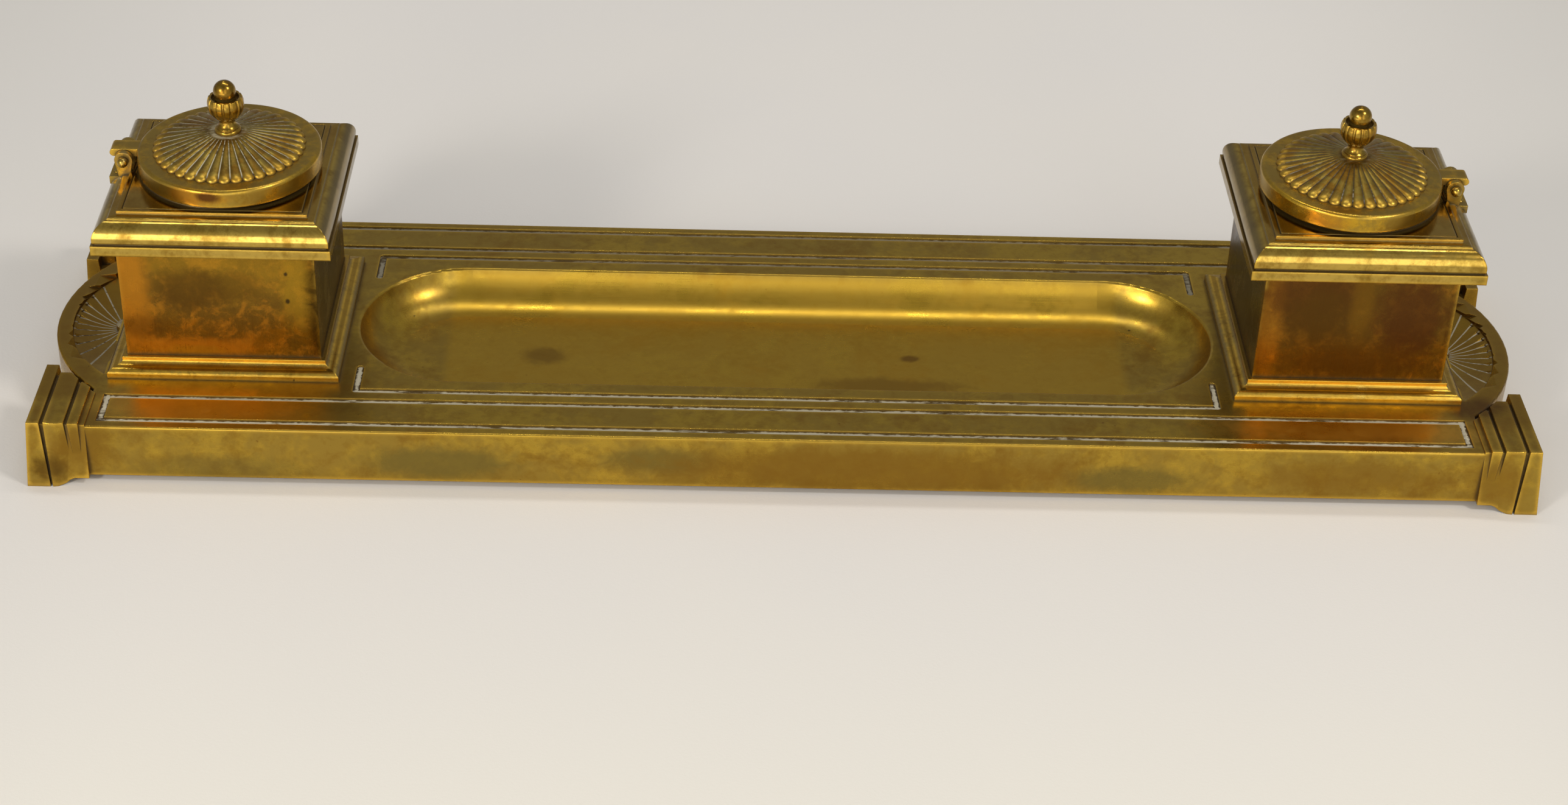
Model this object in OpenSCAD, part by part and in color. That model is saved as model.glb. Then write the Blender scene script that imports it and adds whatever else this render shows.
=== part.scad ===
// Desk inkstand: a long cast tray with a pen recess and two square wells with hinged lids.
// +X is to the right, +Y to the back and +Z up. The origin is on the table, under the middle.
// All sizes are in millimetres. Each right-hand piece is drawn, and its left twin is mirrored.

/* [Tray] */
// Length over the corner blocks
tray_l = 400; // [333:1:480]
// Depth of the tray top, front to back
tray_d = 107.4; // [100:0.2:129]
// Height of the tray top above the table
tray_h = 17.5; // [16.5:0.5:21]
// Gap between the table and the skirt's lower edge
skirt_gap = 2; // [1:0.5:3]
// Thickness of the tray's top and skirt
tray_wall = 3; // [2.5:0.1:3.6]
// Rounding of the tray's upper edge
tray_edge_r = 0.5; // [0.2:0.1:1]
// How far each round end stands out past the straight part
end_bulge = 16.1; // [14:0.1:18]
// Distance from the tray's front edge to where a round end starts
end_margin = 17.7; // [16:0.1:20]

/* [Corner blocks] */
// How far the blocks rise above the tray top
block_rise = 1.4; // [0.6:0.1:2]
// How far the blocks stand out in front of the tray at their top
block_proud = 0.9; // [0.4:0.1:1.5]
// How far a block's foot flares to the front
flare_front = 2.1; // [1:0.1:3]
// How far a block's foot flares to the side
flare_side = 1.2; // [0.5:0.1:2]
// Width of the outer rib
rib_outer_w = 3.3; // [2.5:0.1:4]
// Width of the middle rib
rib_mid_w = 5.3; // [4:0.1:6]
// Width of the inner rib
rib_inner_w = 2.8; // [2:0.1:3.5]
// Width of the grooves between the ribs
rib_groove_w = 1.05; // [0.6:0.05:1.4]
// Depth of the grooves between the ribs
rib_groove_deep = 1; // [0.5:0.1:1.5]
// Width of the seam between the inner rib and the tray
rib_seam_w = 0.5; // [0.3:0.1:1]
// Length of the outer rib, from the tray's front edge
rib_outer_l = 26.7; // [24:0.1:28]
// Length of the middle rib, from the tray's front edge
rib_mid_l = 23.1; // [21:0.1:24]
// Width of the gap between the ribs' back ends and the round end
rib_end_gap = 1.2; // [0.8:0.1:1.6]

/* [Pen recess and incised lines] */
// Radius of the recess's round ends, half its width
recess_r = 28.8; // [25:0.1:31]
// Depth of the recess
recess_deep = 9; // [7:0.1:10]
// Radius of the cove round its floor
cove_r = 12; // [11:0.1:14]
// Rounding of the recess's lip
lip_r = 0.8; // [0.4:0.1:1.2]
// Thickness of the metal under the recess
bowl_wall = 2.5; // [2:0.1:3.5]
// Distance from a well's plinth to the recess
recess_gap = 2.4; // [1.5:0.1:6]
// Distance from a well's plinth to the line round the recess
frame_gap = 5; // [4:0.1:8]
// Distance from the recess's edge to the long lines of that frame
frame_margin = 5.5; // [4.5:0.1:6.5]
// Length of the frame's short side strokes
frame_stroke = 10.9; // [6:0.1:12]
// Distance from that frame to the panels in front and behind
panel_gap = 4.9; // [4:0.1:6]
// Distance from the panels' lines to the tray's long edges
panel_margin = 3.7; // [3:0.1:6]
// Distance from the panels' lines to the tray's ends
panel_end = 4.3; // [3:0.1:8]
// Width of an incised line
line_w = 1.9; // [1:0.1:2.2]
// Depth of an incised line
line_deep = 0.5; // [0.3:0.1:1]

/* [Fan panels] */
// Plain border between a fan and the end of the tray
fan_border = 4.2; // [3.5:0.1:6]
// Distance from a well's plinth to the fan's straight side
fan_gap = 1.3; // [0.8:0.1:2]
// Distance from a fan's tips to where the round end starts
fan_tip_margin = 7.1; // [6:0.1:9]
// Depth of the fan at its hub
fan_deep = 4.2; // [3.5:0.1:5]
// Petals in a fan
fan_petals = 13; // [9:2:15]
// Radius of the fan's hub
fan_hub_r = 2.4; // [1.8:0.1:3]

/* [Wells] */
// Distance from a block's outer side to the well's middle
well_inset = 47.8; // [46:0.1:52]
// Outer width of a well's walls
well_w = 52; // [48:0.5:62.5]
// Height of a well's walls
well_h = 46.5; // [38:0.5:56]
// Thickness of a well's walls
well_wall = 1.5; // [1:0.1:2]
// Height of the plinth moulding
plinth_h = 4.7; // [4.7:0.1:6]
// How far the plinth stands out from the walls
plinth_out = 5; // [5:0.1:6]
// Thickness of the floor plate
floor_t = 2; // [1.5:0.1:3]
// Clearance of the floor plate inside the walls
floor_fit = 0.05; // [0.02:0.01:0.2]
// Height of the cornice moulding
cornice_h = 10; // [10:0.1:12]
// How far the cornice stands out from the walls
cornice_out = 5.25; // [5.2:0.05:6]
// Thickness of the plate that closes the top of a well
top_plate_t = 2.2; // [1.9:0.1:2.6]

/* [Mouth and ink cup] */
// Distance from the walls' inner face to the mouth
mouth_margin = 5.2; // [5:0.1:7]
// Width of the raised collar round the mouth
collar_w = 3.2; // [2.4:0.1:3.4]
// Height of the collar
collar_h = 0.7; // [0.5:0.1:0.8]
// Width of the step in the mouth that carries the cup
rebate_w = 1.4; // [1:0.1:1.8]
// Depth of that step below the collar's top
rebate_deep = 1.6; // [1.2:0.1:2]
// Thickness of the cup's glass
cup_wall = 2.2; // [1.5:0.1:3]
// Thickness of the cup's flange
cup_flange_t = 1.4; // [1:0.1:1.4]
// Clearance round the cup
cup_fit = 0.4; // [0.2:0.05:0.6]
// Clearance between the cup and the floor plate
cup_lift = 0.5; // [0.3:0.1:2]

/* [Lids] */
// Thickness of a lid at its rim
lid_t = 5.1; // [4.6:0.1:6]
// Gap between a closed lid and the collar
lid_gap = 0.3; // [0.2:0.05:0.5]
// How far a lid's middle lies nearer to the pens than the well's middle
lid_shift = 1.4; // [0.5:0.1:1.6]
// Depth of the recess in a lid's underside
lid_recess_deep = 2.5; // [2.2:0.1:3]
// Width of the ring that a lid closes with
lid_ring_w = 4.4; // [4:0.1:5]
// Width of the plain ring between the rosette and the lid's edge
lid_band = 4.1; // [3.5:0.1:6]
// Petals in the rosette
rosette_petals = 38; // [24:2:44]
// Height of the rosette at its edge
rosette_edge_h = 1.6; // [1.4:0.1:2.2]
// Height of the rosette at its middle
rosette_h = 4.8; // [4:0.1:5.4]
// Radius of the finial's stud
stud_r = 1.5; // [1.2:0.1:1.9]
// Clearance round the stud
stud_fit = 0.1; // [0.05:0.05:0.2]
// Height of the finial above the rosette
finial_h = 15; // [13.5:0.5:18]
// Radius of the finial's cup
finial_cup_r = 4.85; // [4.2:0.05:5.5]
// Lobes round the finial's cup
cup_lobes = 14; // [10:1:16]
// Radius of the acorn
acorn_r = 3; // [2.6:0.1:3.4]
// Radius of the round nut under a lid
nut_r = 3.5; // [3:0.1:4]
// Thickness of the nut
nut_t = 2; // [1.5:0.1:2.1]

/* [Hinges] */
// Radius of the hinge pin
pin_r = 1; // [0.8:0.05:1.2]
// How much wider the pin's ball ends are than the pin, in radius
ball_extra = 0.4; // [0.2:0.05:0.6]
// Clearance of the pin in the lugs
lug_fit = 0.03; // [0.02:0.01:0.1]
// Clearance of the pin in the lid's knuckle
knuckle_fit = 0.05; // [0.03:0.01:0.15]
// Metal round the pin in the lugs
lug_ring = 1.4; // [1:0.1:1.5]
// Metal round the pin in the knuckle
knuckle_ring = 1.5; // [1.1:0.1:1.6]
// Width of the lid's tongue along the pin
tongue_w = 5; // [4:0.1:6]
// Gap between the tongue and each lug
lug_gap = 0.25; // [0.15:0.05:0.4]
// Thickness of each lug along the pin
lug_t = 1.55; // [1.2:0.05:2]
// Thickness of the tongue
tongue_t = 2.1; // [1.6:0.1:2.3]
// How far the tongue reaches past the pin
tongue_tail = 3.8; // [3.2:0.1:4]
// Distance from the cornice's outer face in to the pin
pin_inset = 4.85; // [4.5:0.05:5.5]
// Distance from the pin to the lid's rim
rim_gap = 3.4; // [3.2:0.1:4]
// Height of the pin above the lid's underside
pin_rise = 2.3; // [2.1:0.1:2.6]
// Height of the bracket's foot
bracket_foot_t = 2.2; // [1.8:0.1:2.3]
// Radius of the bracket's rivets
rivet_r = 0.6; // [0.4:0.1:0.8]

/* [Screws] */
// Radius of the screws that hold a well to the tray
screw_r = 1.75; // [1.5:0.05:2]
// Clearance round a screw in the tray
screw_fit = 0.2; // [0.1:0.05:0.4]
// Radius of a screw's head
screw_head_r = 3; // [2.6:0.1:3.5]
// Thickness of a screw's head
screw_head_t = 2; // [1.6:0.1:2.4]
// Distance of the screws from the well's middle, both ways
screw_at = 16; // [12:0.5:18]

/* [Hidden] */
$fn = 96;
// A cut runs this far past the face that it opens
over = 1;
// A piece of a casting reaches this far into the piece it is fused with
root = 1;

// Tray plan
// Drift of a block's grooves towards the tray from top to foot, and their width at the foot
groove_drift = 1.6;
groove_foot_w = 0.6;
block_w = rib_outer_w + rib_mid_w + rib_inner_w + 2 * rib_groove_w + rib_seam_w;
tray_half_l = tray_l / 2 - block_w;
tray_half_d = tray_d / 2;
block_h = tray_h + block_rise;
roof_z = tray_h - tray_wall;
end_chord = tray_half_d - end_margin;
end_r = arc_radius(end_chord, end_bulge);
end_x = tray_half_l + end_bulge - end_r;

// Well places and heights
well_x = tray_l / 2 - well_inset;
well_half = well_w / 2;
plinth_half = well_half + plinth_out;
cornice_half = well_half + cornice_out;
body_top = tray_h + well_h;
cornice_top = body_top + top_plate_t;
cornice_bottom = cornice_top - cornice_h;
collar_top = cornice_top + collar_h;
mouth_r = well_half - well_wall - mouth_margin;
collar_r = mouth_r + collar_w;
rebate_r = mouth_r + rebate_w;
rebate_z = collar_top - rebate_deep;

// Cup
cup_r = mouth_r - cup_fit;
cup_flange_r = rebate_r - 0.75 * cup_fit;
cup_bottom = tray_h + floor_t + cup_lift;
cup_floor_t = cup_wall + 0.3;

// Recess and lines
recess_end = well_x - plinth_half - recess_gap;
recess_cx = recess_end - recess_r;
cove_up = cove_r - recess_deep;
cove_x = recess_r - sqrt(pow(cove_r, 2) - pow(cove_up, 2));
frame_x = well_x - plinth_half - frame_gap;
frame_y = recess_r + frame_margin;
panel_in = frame_y + panel_gap;
panel_out = tray_half_d - panel_margin;
panel_x = tray_half_l - panel_end;

// Fans
fan_x = well_x + plinth_half + fan_gap;
fan_chord = end_chord - fan_tip_margin;
fan_bulge = tray_half_l + end_bulge - fan_border - fan_x;
fan_r = arc_radius(fan_chord, fan_bulge);
fan_step = 1;
fan_pitch = 180 / fan_petals;
fan_floor_t = 2.5;
fan_hub_h = 2.2;
fan_hub_round = 1;
// Plain strip between the valleys' ends and the outline, and the depth of the valleys there
fan_end_gap = 0.6;
fan_valley_deep = 0.9;
// Part of a petal's width that its two valleys take, and the height that their cuts reach
valley_share = 0.9;
valley_h = 3;

// Lid heights; the hinge sets the lid's radius
pin_x = well_x + cornice_half - pin_inset;
lid_z = collar_top + lid_gap;
lid_top = lid_z + lid_t;
lid_x = well_x - lid_shift;
lid_r = pin_x - rim_gap - lid_x;
lid_recess_r = lid_r - lid_ring_w;
lid_ceiling = lid_z + lid_recess_deep;
rosette_r = lid_r - lid_band;
rosette_top = lid_top + rosette_h;
rosette_hub_r = 4.7;
rosette_valley_deep = 0.9;
// Middle and top of the finial's cup above the rosette
cup_z = finial_h - 6.9;
cup_top = finial_h - 4.9;

// Hinge
pin_z = lid_z + pin_rise;
lug_r = pin_r + lug_ring;
knuckle_r = pin_r + knuckle_ring;
lug_y = tongue_w / 2 + lug_gap;
bracket_half = lug_y + lug_t;
ball_r = pin_r + ball_extra;
ball_y = bracket_half + sqrt(pow(ball_r, 2) - pow(pin_r, 2));
// The tongue's tail swings clear of the foot by this gap
sweep_gap = 0.35;
sweep_r = norm([tongue_tail, knuckle_r]) + sweep_gap;
foot_top = pin_z - sweep_r;
foot_z = foot_top - bracket_foot_t;
foot_margin = 0.4;
foot_out = pin_x + tongue_tail + foot_margin;
// How far the bracket hooks over the top of the well's wall
hook_w = 1.4;
hook_x = well_x + well_half - hook_w;
rivet_inset = 1.6;
rivet_x = foot_out - rivet_inset;
rivet_y = 1.3;

// Radius of an arc from half its chord and its rise
function arc_radius(half_chord, rise) = (pow(half_chord, 2) + pow(rise, 2)) / (2 * rise);

// Middle of a circle through a and b, on the left of the way from a to b
function arc_centre(a, b, r) =
    let (d = b - a, c = norm(d))
    (a + b) / 2 + sqrt(pow(r, 2) - pow(c / 2, 2)) / c * [-d[1], d[0]];

// The children as drawn and mirrored to the other end of the tray
module both_ends() {
    children();
    mirror([1, 0, 0]) children();
}

// The children as drawn and mirrored to the back
module front_and_back() {
    children();
    mirror([0, 1, 0]) children();
}

module left() {
    mirror([1, 0, 0]) children();
}

// Solid of a right-and-left profile run along Y
module along_y(length) {
    rotate([90, 0, 0]) translate([0, 0, -length / 2]) linear_extrude(length) children();
}

// Solid of a front-and-back profile run along X
module along_x(length) {
    rotate([90, 0, 90]) translate([0, 0, -length / 2]) linear_extrude(length) children();
}

// A square moulding with mitred corners; the child is half its profile, to the right of x = 0
module mitred(size) {
    intersection() {
        along_x(size) union() {
            children();
            mirror([1, 0]) children();
        }
        along_y(size) union() {
            children();
            mirror([1, 0]) children();
        }
    }
}

// Half the profile of a disc or block with a rounded top corner
module round_topped(half, height, r) {
    square([half, height - r]);
    square([half - r, height]);
    translate([half - r, height - r]) circle(r);
}

// Tray casting

module tray_plan(inset) {
    square([2 * (tray_half_l - inset), 2 * (tray_half_d - inset)], center = true);
    both_ends() translate([end_x, 0]) circle(end_r - inset);
}

module tray_outside() {
    height = tray_h - skirt_gap;
    translate([0, 0, skirt_gap]) {
        intersection() {
            along_x(2 * tray_half_l) front_profile(tray_half_d, height);
            along_y(2 * tray_half_d) front_profile(tray_half_l, height);
        }
        both_ends() translate([end_x, 0, 0])
            rotate_extrude() round_topped(end_r, height, tray_edge_r);
    }
}

module front_profile(half, height) {
    round_topped(half, height, tray_edge_r);
    mirror([1, 0]) round_topped(half, height, tray_edge_r);
}

// A block's front view, in distances from the tray's end and heights
module rib_front(x0, x1, foot_x0, foot_x1, foot_z0, foot_z1) {
    polygon([[x0, block_h], [x1, block_h], [foot_x1, foot_z1], [foot_x0, foot_z0]]);
}

inner_x1 = rib_seam_w + rib_inner_w;
mid_x0 = inner_x1 + rib_groove_w;
mid_x1 = mid_x0 + rib_mid_w;
outer_x0 = mid_x1 + rib_groove_w;
// The grooves drift towards the tray and get narrower from the top to the foot
mid_foot_x = outer_x0 - groove_drift;
inner_foot_x = mid_x0 - groove_drift;

module rib_inner_front() {
    rib_front(rib_seam_w, inner_x1, rib_seam_w, inner_foot_x - groove_foot_w, skirt_gap, skirt_gap);
}

module rib_mid_front() {
    sole_w = 1.5;
    curl = [-2, 0.6];
    sole_x = mid_foot_x - groove_foot_w;
    polygon([[mid_x0, block_h], [mid_x1, block_h], [sole_x, 0], [sole_x - sole_w, 0],
             [sole_x - sole_w, 0] + curl, [inner_foot_x, skirt_gap]]);
}

module rib_outer_front() {
    rib_front(outer_x0, block_w, mid_foot_x, block_w + flare_side, 0, 0);
}

// A block's side view: its front leans out towards the foot
module block_side(length, proud, drop) {
    polygon([[-tray_half_d - proud, block_h - drop], [-tray_half_d + length, block_h - drop],
             [-tray_half_d + length, 0], [-tray_half_d - proud - flare_front, 0]]);
}

module leaning_rib(length) {
    intersection() {
        translate([block_w / 2, 0, 0]) along_x(2 * block_w) block_side(length, block_proud, 0);
        translate([0, -tray_half_d, 0]) along_y(4 * end_margin) children();
    }
}

// The middle rib's front is rounded, and its axis leans out and sideways towards the foot
module mid_rib_envelope() {
    round_r = 9;
    below = 2;
    height = block_h + 4 * below;
    lean = atan(flare_front / block_h);
    drift = atan((groove_drift + groove_foot_w) / block_h);
    translate([mid_foot_x, -tray_half_d - block_proud - flare_front + round_r, 0])
        rotate([-lean, -drift, 0]) translate([0, 0, -below]) {
            cylinder(r = round_r, h = height);
            translate([-round_r, 0, 0]) cube([2 * round_r, 4 * round_r, height]);
        }
}

// One corner block, at the front right, in distances from the tray's end
module block_ribs() {
    inner_l = end_margin + 1;
    leaning_rib(rib_outer_l) rib_outer_front();
    intersection() {
        leaning_rib(rib_mid_l) rib_mid_front();
        mid_rib_envelope();
    }
    intersection() {
        translate([0, 0, skirt_gap]) translate([0, -tray_half_d - block_proud, 0])
            cube([inner_x1, inner_l + block_proud, block_h]);
        translate([0, -tray_half_d, 0]) along_y(4 * end_margin) rib_inner_front();
    }
}

// The metal behind the ribs; its face is the bottom of the grooves
module block_core() {
    core_h = block_h - rib_groove_deep;
    lean_in = block_proud - rib_groove_deep;
    lift = 0.3;
    intersection() {
        translate([block_w / 2, 0, 0]) along_x(2 * block_w)
            block_side(rib_mid_l, lean_in, rib_groove_deep);
        translate([0, -tray_half_d, 0]) along_y(4 * end_margin)
            polygon([[-root, core_h], [outer_x0 + root, core_h], [mid_foot_x + root, lift],
                     [mid_foot_x - 2 * root, lift], [inner_foot_x, skirt_gap], [-root, skirt_gap]]);
    }
}

// Low metal that joins the ribs' back ends to the round end
module block_web() {
    web_drop = 2.2;
    web_h = tray_h - web_drop;
    translate([-root, -tray_half_d + root, skirt_gap])
        cube([outer_x0 + 2 * root, rib_outer_l - 1.2 * root, web_h - skirt_gap]);
}

module corner_block() {
    plinth_clear = plinth_half + rib_end_gap;
    translate([tray_half_l, 0, 0]) {
        difference() {
            union() {
                block_ribs();
                block_core();
            }
            translate([end_x - tray_half_l, 0, -over])
                cylinder(r = end_r + rib_end_gap, h = block_h + 2 * over);
            // A wide well's plinth stands on the block, clear of its ribs
            translate([well_x - tray_half_l - plinth_clear, -plinth_clear, tray_h])
                cube([2 * plinth_clear, 2 * plinth_clear, block_rise + over]);
        }
        block_web();
    }
}

// Half the outline of the recess's section, measured from the tray top; below it is metal
module recess_section() {
    reach = cove_r + lip_r;
    lip_x = cove_x + sqrt(pow(reach, 2) - pow(cove_up + lip_r, 2));
    touch_z = cove_up - cove_r * (cove_up + lip_r) / reach;
    difference() {
        union() {
            translate([0, -recess_deep]) square([cove_x, recess_deep + over]);
            intersection() {
                translate([cove_x, cove_up]) circle(cove_r);
                translate([0, -recess_deep - over]) square([recess_r + over, recess_deep + 2 * over]);
            }
            translate([0, touch_z]) square([lip_x, over - touch_z]);
        }
        translate([lip_x, -lip_r]) circle(lip_r);
    }
}

// Half the section of the metal bowl under the recess
module bowl_section() {
    bowl_r = cove_r + bowl_wall;
    translate([0, -recess_deep - bowl_wall]) square([cove_x, recess_deep + bowl_wall - root]);
    intersection() {
        translate([cove_x, cove_up]) circle(bowl_r);
        translate([0, -recess_deep - bowl_wall - over])
            square([cove_x + bowl_r, recess_deep + bowl_wall + over - root]);
    }
}

// A section run round the stadium of the recess
module round_stadium() {
    translate([0, 0, tray_h]) {
        along_x(2 * recess_cx) union() {
            children();
            mirror([1, 0]) children();
        }
        both_ends() translate([recess_cx, 0, 0]) rotate_extrude(angle = 180, start = -90) children();
    }
}

// Straight incised line between two points, with round ends
module stroke(a, b) {
    way = b - a;
    translate([a[0], a[1], tray_h - line_deep]) rotate([0, 0, atan2(way[1], way[0])]) {
        translate([0, -line_w / 2, 0]) cube([norm(way), line_w, line_deep + over]);
        cylinder(r = line_w / 2, h = line_deep + over);
        translate([norm(way), 0, 0]) cylinder(r = line_w / 2, h = line_deep + over);
    }
}

// Square-cornered groove round a rectangle
module line_box(x0, y0, x1, y1) {
    translate([0, 0, tray_h - line_deep]) linear_extrude(line_deep + over) difference() {
        translate([x0 - line_w / 2, y0 - line_w / 2]) square([x1 - x0 + line_w, y1 - y0 + line_w]);
        translate([x0 + line_w / 2, y0 + line_w / 2]) square([x1 - x0 - line_w, y1 - y0 - line_w]);
    }
}

module incised_lines() {
    front_and_back() {
        line_box(-panel_x, -panel_out, panel_x, -panel_in);
        stroke([-frame_x, -frame_y], [frame_x, -frame_y]);
        both_ends() stroke([frame_x, -frame_y], [frame_x, -frame_y + frame_stroke]);
    }
}

// Plan of a fan panel, in distances from the middle of its straight side
module fan_plan(grow) {
    intersection() {
        translate([fan_bulge - fan_r, 0]) circle(fan_r + grow);
        translate([-grow, -2 * fan_chord]) square([2 * fan_bulge, 4 * fan_chord]);
    }
}

// Dished hollow of a fan: deepest at the hub, and one step deep at its outline
module fan_hollow() {
    fall = fan_deep - fan_step;
    dish_x = arc_radius(fan_bulge, fall);
    dish_y = arc_radius(fan_chord, fall);
    intersection() {
        translate([0, 0, -fan_deep - over]) linear_extrude(fan_deep + 2 * over) fan_plan(0);
        translate([0, 0, dish_y - fan_deep]) rotate([0, 90, 0])
            rotate_extrude($fn = 360) translate([dish_y - dish_x, 0]) circle(dish_x);
    }
}

// Distance from the hub to a fan's outline, in the direction a
function fan_reach(a) =
    let (off = fan_r - fan_bulge)
    sqrt(pow(fan_r, 2) - pow(off * sin(a), 2)) - off * cos(a);

// Valleys between a fan's petals; they deepen from the hub to the outline
module fan_valleys() {
    for (k = [1 : fan_petals - 1]) {
        a = -90 + k * fan_pitch;
        reach = fan_reach(a) - fan_end_gap;
        half_w = reach * tan(fan_pitch / 2) * valley_share;
        valley([fan_hub_r, -fan_deep], [reach, -fan_step - fan_valley_deep], half_w / fan_valley_deep, a);
    }
}

module fan_cut() {
    difference() {
        union() {
            fan_hollow();
            fan_valleys();
        }
        translate([0, 0, -fan_deep - over]) rotate_extrude(angle = 180, start = -90)
            round_topped(fan_hub_r, over + fan_hub_h, fan_hub_round);
    }
}

// V-shaped cut with its bottom from a to b, both given as distance and height; spread is its
// half width for each millimetre of height
module valley(a, b, spread, turn) {
    way = b - a;
    rotate([0, 0, turn]) translate([a[0], 0, a[1]]) rotate([0, -atan2(way[1], way[0]), 0])
        rotate([90, 0, 90]) linear_extrude(norm(way))
            polygon([[0, 0], [valley_h * spread, valley_h], [-valley_h * spread, valley_h]]);
}

module fan_floor() {
    translate([0, 0, -fan_deep - fan_floor_t]) linear_extrude(fan_deep + fan_floor_t - root)
        fan_plan(fan_floor_t);
}

module screw_places() {
    both_ends() translate([well_x, 0, 0])
        for (x = [-screw_at, screw_at], y = [-screw_at, screw_at]) translate([x, y, 0]) children();
}

module base_tray() {
    color("darkgoldenrod") difference() {
        union() {
            difference() {
                union() {
                    tray_outside();
                    both_ends() front_and_back() corner_block();
                }
                translate([0, 0, -over]) linear_extrude(roof_z + over) tray_plan(tray_wall);
            }
            round_stadium() bowl_section();
            both_ends() translate([fan_x, 0, tray_h]) fan_floor();
        }
        round_stadium() recess_section();
        incised_lines();
        both_ends() translate([fan_x, 0, tray_h]) fan_cut();
        screw_places() translate([0, 0, roof_z - over])
            cylinder(r = screw_r + screw_fit, h = tray_wall + 2 * over);
    }
}

// Wells

// Half the plinth's profile: fascia, low ogee and top fillet
module plinth_profile() {
    wave_r = 2.4;
    wave_l = 3.6;
    wave_h = 1.7;
    fillet_h = 1.2;
    edge = 0.1;
    top = [plinth_half - edge - wave_l, plinth_h - fillet_h];
    foot = top + [wave_l, -wave_h];
    turn = (foot + top) / 2;
    difference() {
        union() {
            square([plinth_half, foot[1] - edge]);
            polygon([[0, 0], [foot[0], 0], foot, turn, top, [top[0], plinth_h], [0, plinth_h]]);
            intersection() {
                translate(arc_centre(foot, turn, wave_r)) circle(wave_r);
                translate([top[0], foot[1]]) square([plinth_out, turn[1] - foot[1]]);
            }
        }
        intersection() {
            translate(arc_centre(top, turn, wave_r)) circle(wave_r);
            translate([top[0], turn[1]]) square([plinth_out, wave_r]);
        }
    }
}

module right_well_plinth() {
    color("goldenrod") translate([well_x, 0, tray_h]) difference() {
        mitred(2 * plinth_half + over) plinth_profile();
        translate([-well_half, -well_half, -over]) cube([well_w, well_w, plinth_h + 2 * over]);
    }
}

module right_well_body() {
    inside = well_w - 2 * well_wall;
    color("darkgoldenrod") translate([well_x, 0, tray_h]) linear_extrude(well_h) difference() {
        square(well_w, center = true);
        square(inside, center = true);
    }
}

module right_well_floor() {
    side = well_w - 2 * well_wall - 2 * floor_fit;
    color("peru") difference() {
        translate([well_x - side / 2, -side / 2, tray_h]) cube([side, side, floor_t]);
        screw_places() translate([0, 0, tray_h - over]) cylinder(r = screw_r, h = floor_t + 2 * over);
    }
}

// Half the cornice's profile: fascia, quirk, broad ovolo, bead, flat band and raised plate
module cornice_profile() {
    fascia_h = 2.8;
    quirk_h = 0.5;
    quirk_deep = 1;
    ovolo_r = 4.4;
    ovolo_back = 0.45;
    ovolo_x = cornice_half - ovolo_back - ovolo_r;
    ovolo_z = cornice_h - 1.4 - ovolo_r;
    bead_r = 0.5;
    step_h = 1;
    step_fall = 0.15;
    // The bead and the plate's edge lie this far outside and inside the walls' outer face
    shift = 1.1;
    bead_x = well_half + shift - bead_r;
    band_z = cornice_h - step_h;
    plate_half = well_half - shift;
    square([cornice_half, fascia_h]);
    square([cornice_half - quirk_deep, fascia_h + quirk_h]);
    square([ovolo_x, ovolo_z + ovolo_r]);
    intersection() {
        translate([ovolo_x, ovolo_z]) circle(ovolo_r);
        translate([0, fascia_h + quirk_h]) square([cornice_half, cornice_h]);
    }
    translate([bead_x, band_z - bead_r]) circle(bead_r);
    polygon([[0, 0], [bead_x, 0], [bead_x, band_z], [plate_half, band_z + step_fall],
             [plate_half, cornice_h], [0, cornice_h]]);
}

// Room for the bracket in the cornice; it hooks over the top of the well's outer wall
module bracket_seat() {
    translate([hook_x, -bracket_half, foot_z])
        cube([foot_out - hook_x + over, 2 * bracket_half, pin_z]);
}

module right_well_cornice() {
    collar_round = 0.3;
    line = 0.3;
    border = well_w - 5;
    color("goldenrod") difference() {
        union() {
            translate([well_x, 0, cornice_bottom]) mitred(2 * cornice_half + over) cornice_profile();
            translate([well_x, 0, cornice_top - root]) rotate_extrude()
                round_topped(collar_r, collar_h + root, collar_round);
        }
        translate([well_x - well_half, -well_half, cornice_bottom - over])
            cube([well_w, well_w, body_top - cornice_bottom + over]);
        translate([well_x, 0, body_top - over]) cylinder(r = mouth_r, h = cornice_h);
        translate([well_x, 0, rebate_z]) cylinder(r = rebate_r, h = cornice_h);
        translate([well_x, 0, cornice_top - line]) linear_extrude(over) difference() {
            square(border + line, center = true);
            square(border - line, center = true);
        }
        bracket_seat();
        rivet_holes();
    }
}

module rivet_holes() {
    for (y = [-rivet_y, rivet_y]) translate([rivet_x, y, cornice_bottom - over])
        cylinder(r = rivet_r, h = foot_top - cornice_bottom + 2 * over);
}

// Glass cup that hangs by its flange
module right_ink_liner() {
    bottom_r = 2;
    inner_r = cup_r - cup_wall;
    inner_bottom_r = 1.5;
    color("lightcyan") translate([well_x, 0, cup_bottom]) rotate_extrude() difference() {
        union() {
            mirror([0, 1]) translate([0, -rebate_z - cup_flange_t + cup_bottom])
                round_topped(cup_r, rebate_z + cup_flange_t - cup_bottom, bottom_r);
            translate([0, rebate_z - cup_bottom]) square([cup_flange_r, cup_flange_t]);
        }
        mirror([0, 1]) translate([0, -cup_floor_t - well_h])
            round_topped(inner_r, well_h, inner_bottom_r);
    }
}

// Hinges

module lug_side() {
    sunk = 0.2;
    toe = 1.6;
    heel = 0.3;
    cheek = [lug_r - 0.1, -0.6];
    translate([pin_x, pin_z]) circle(lug_r);
    polygon([[hook_x, foot_top - sunk], [pin_x + toe, foot_top - sunk],
             [pin_x, pin_z] + cheek, [pin_x - lug_r, pin_z], [hook_x, cornice_top + heel]]);
}

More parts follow.
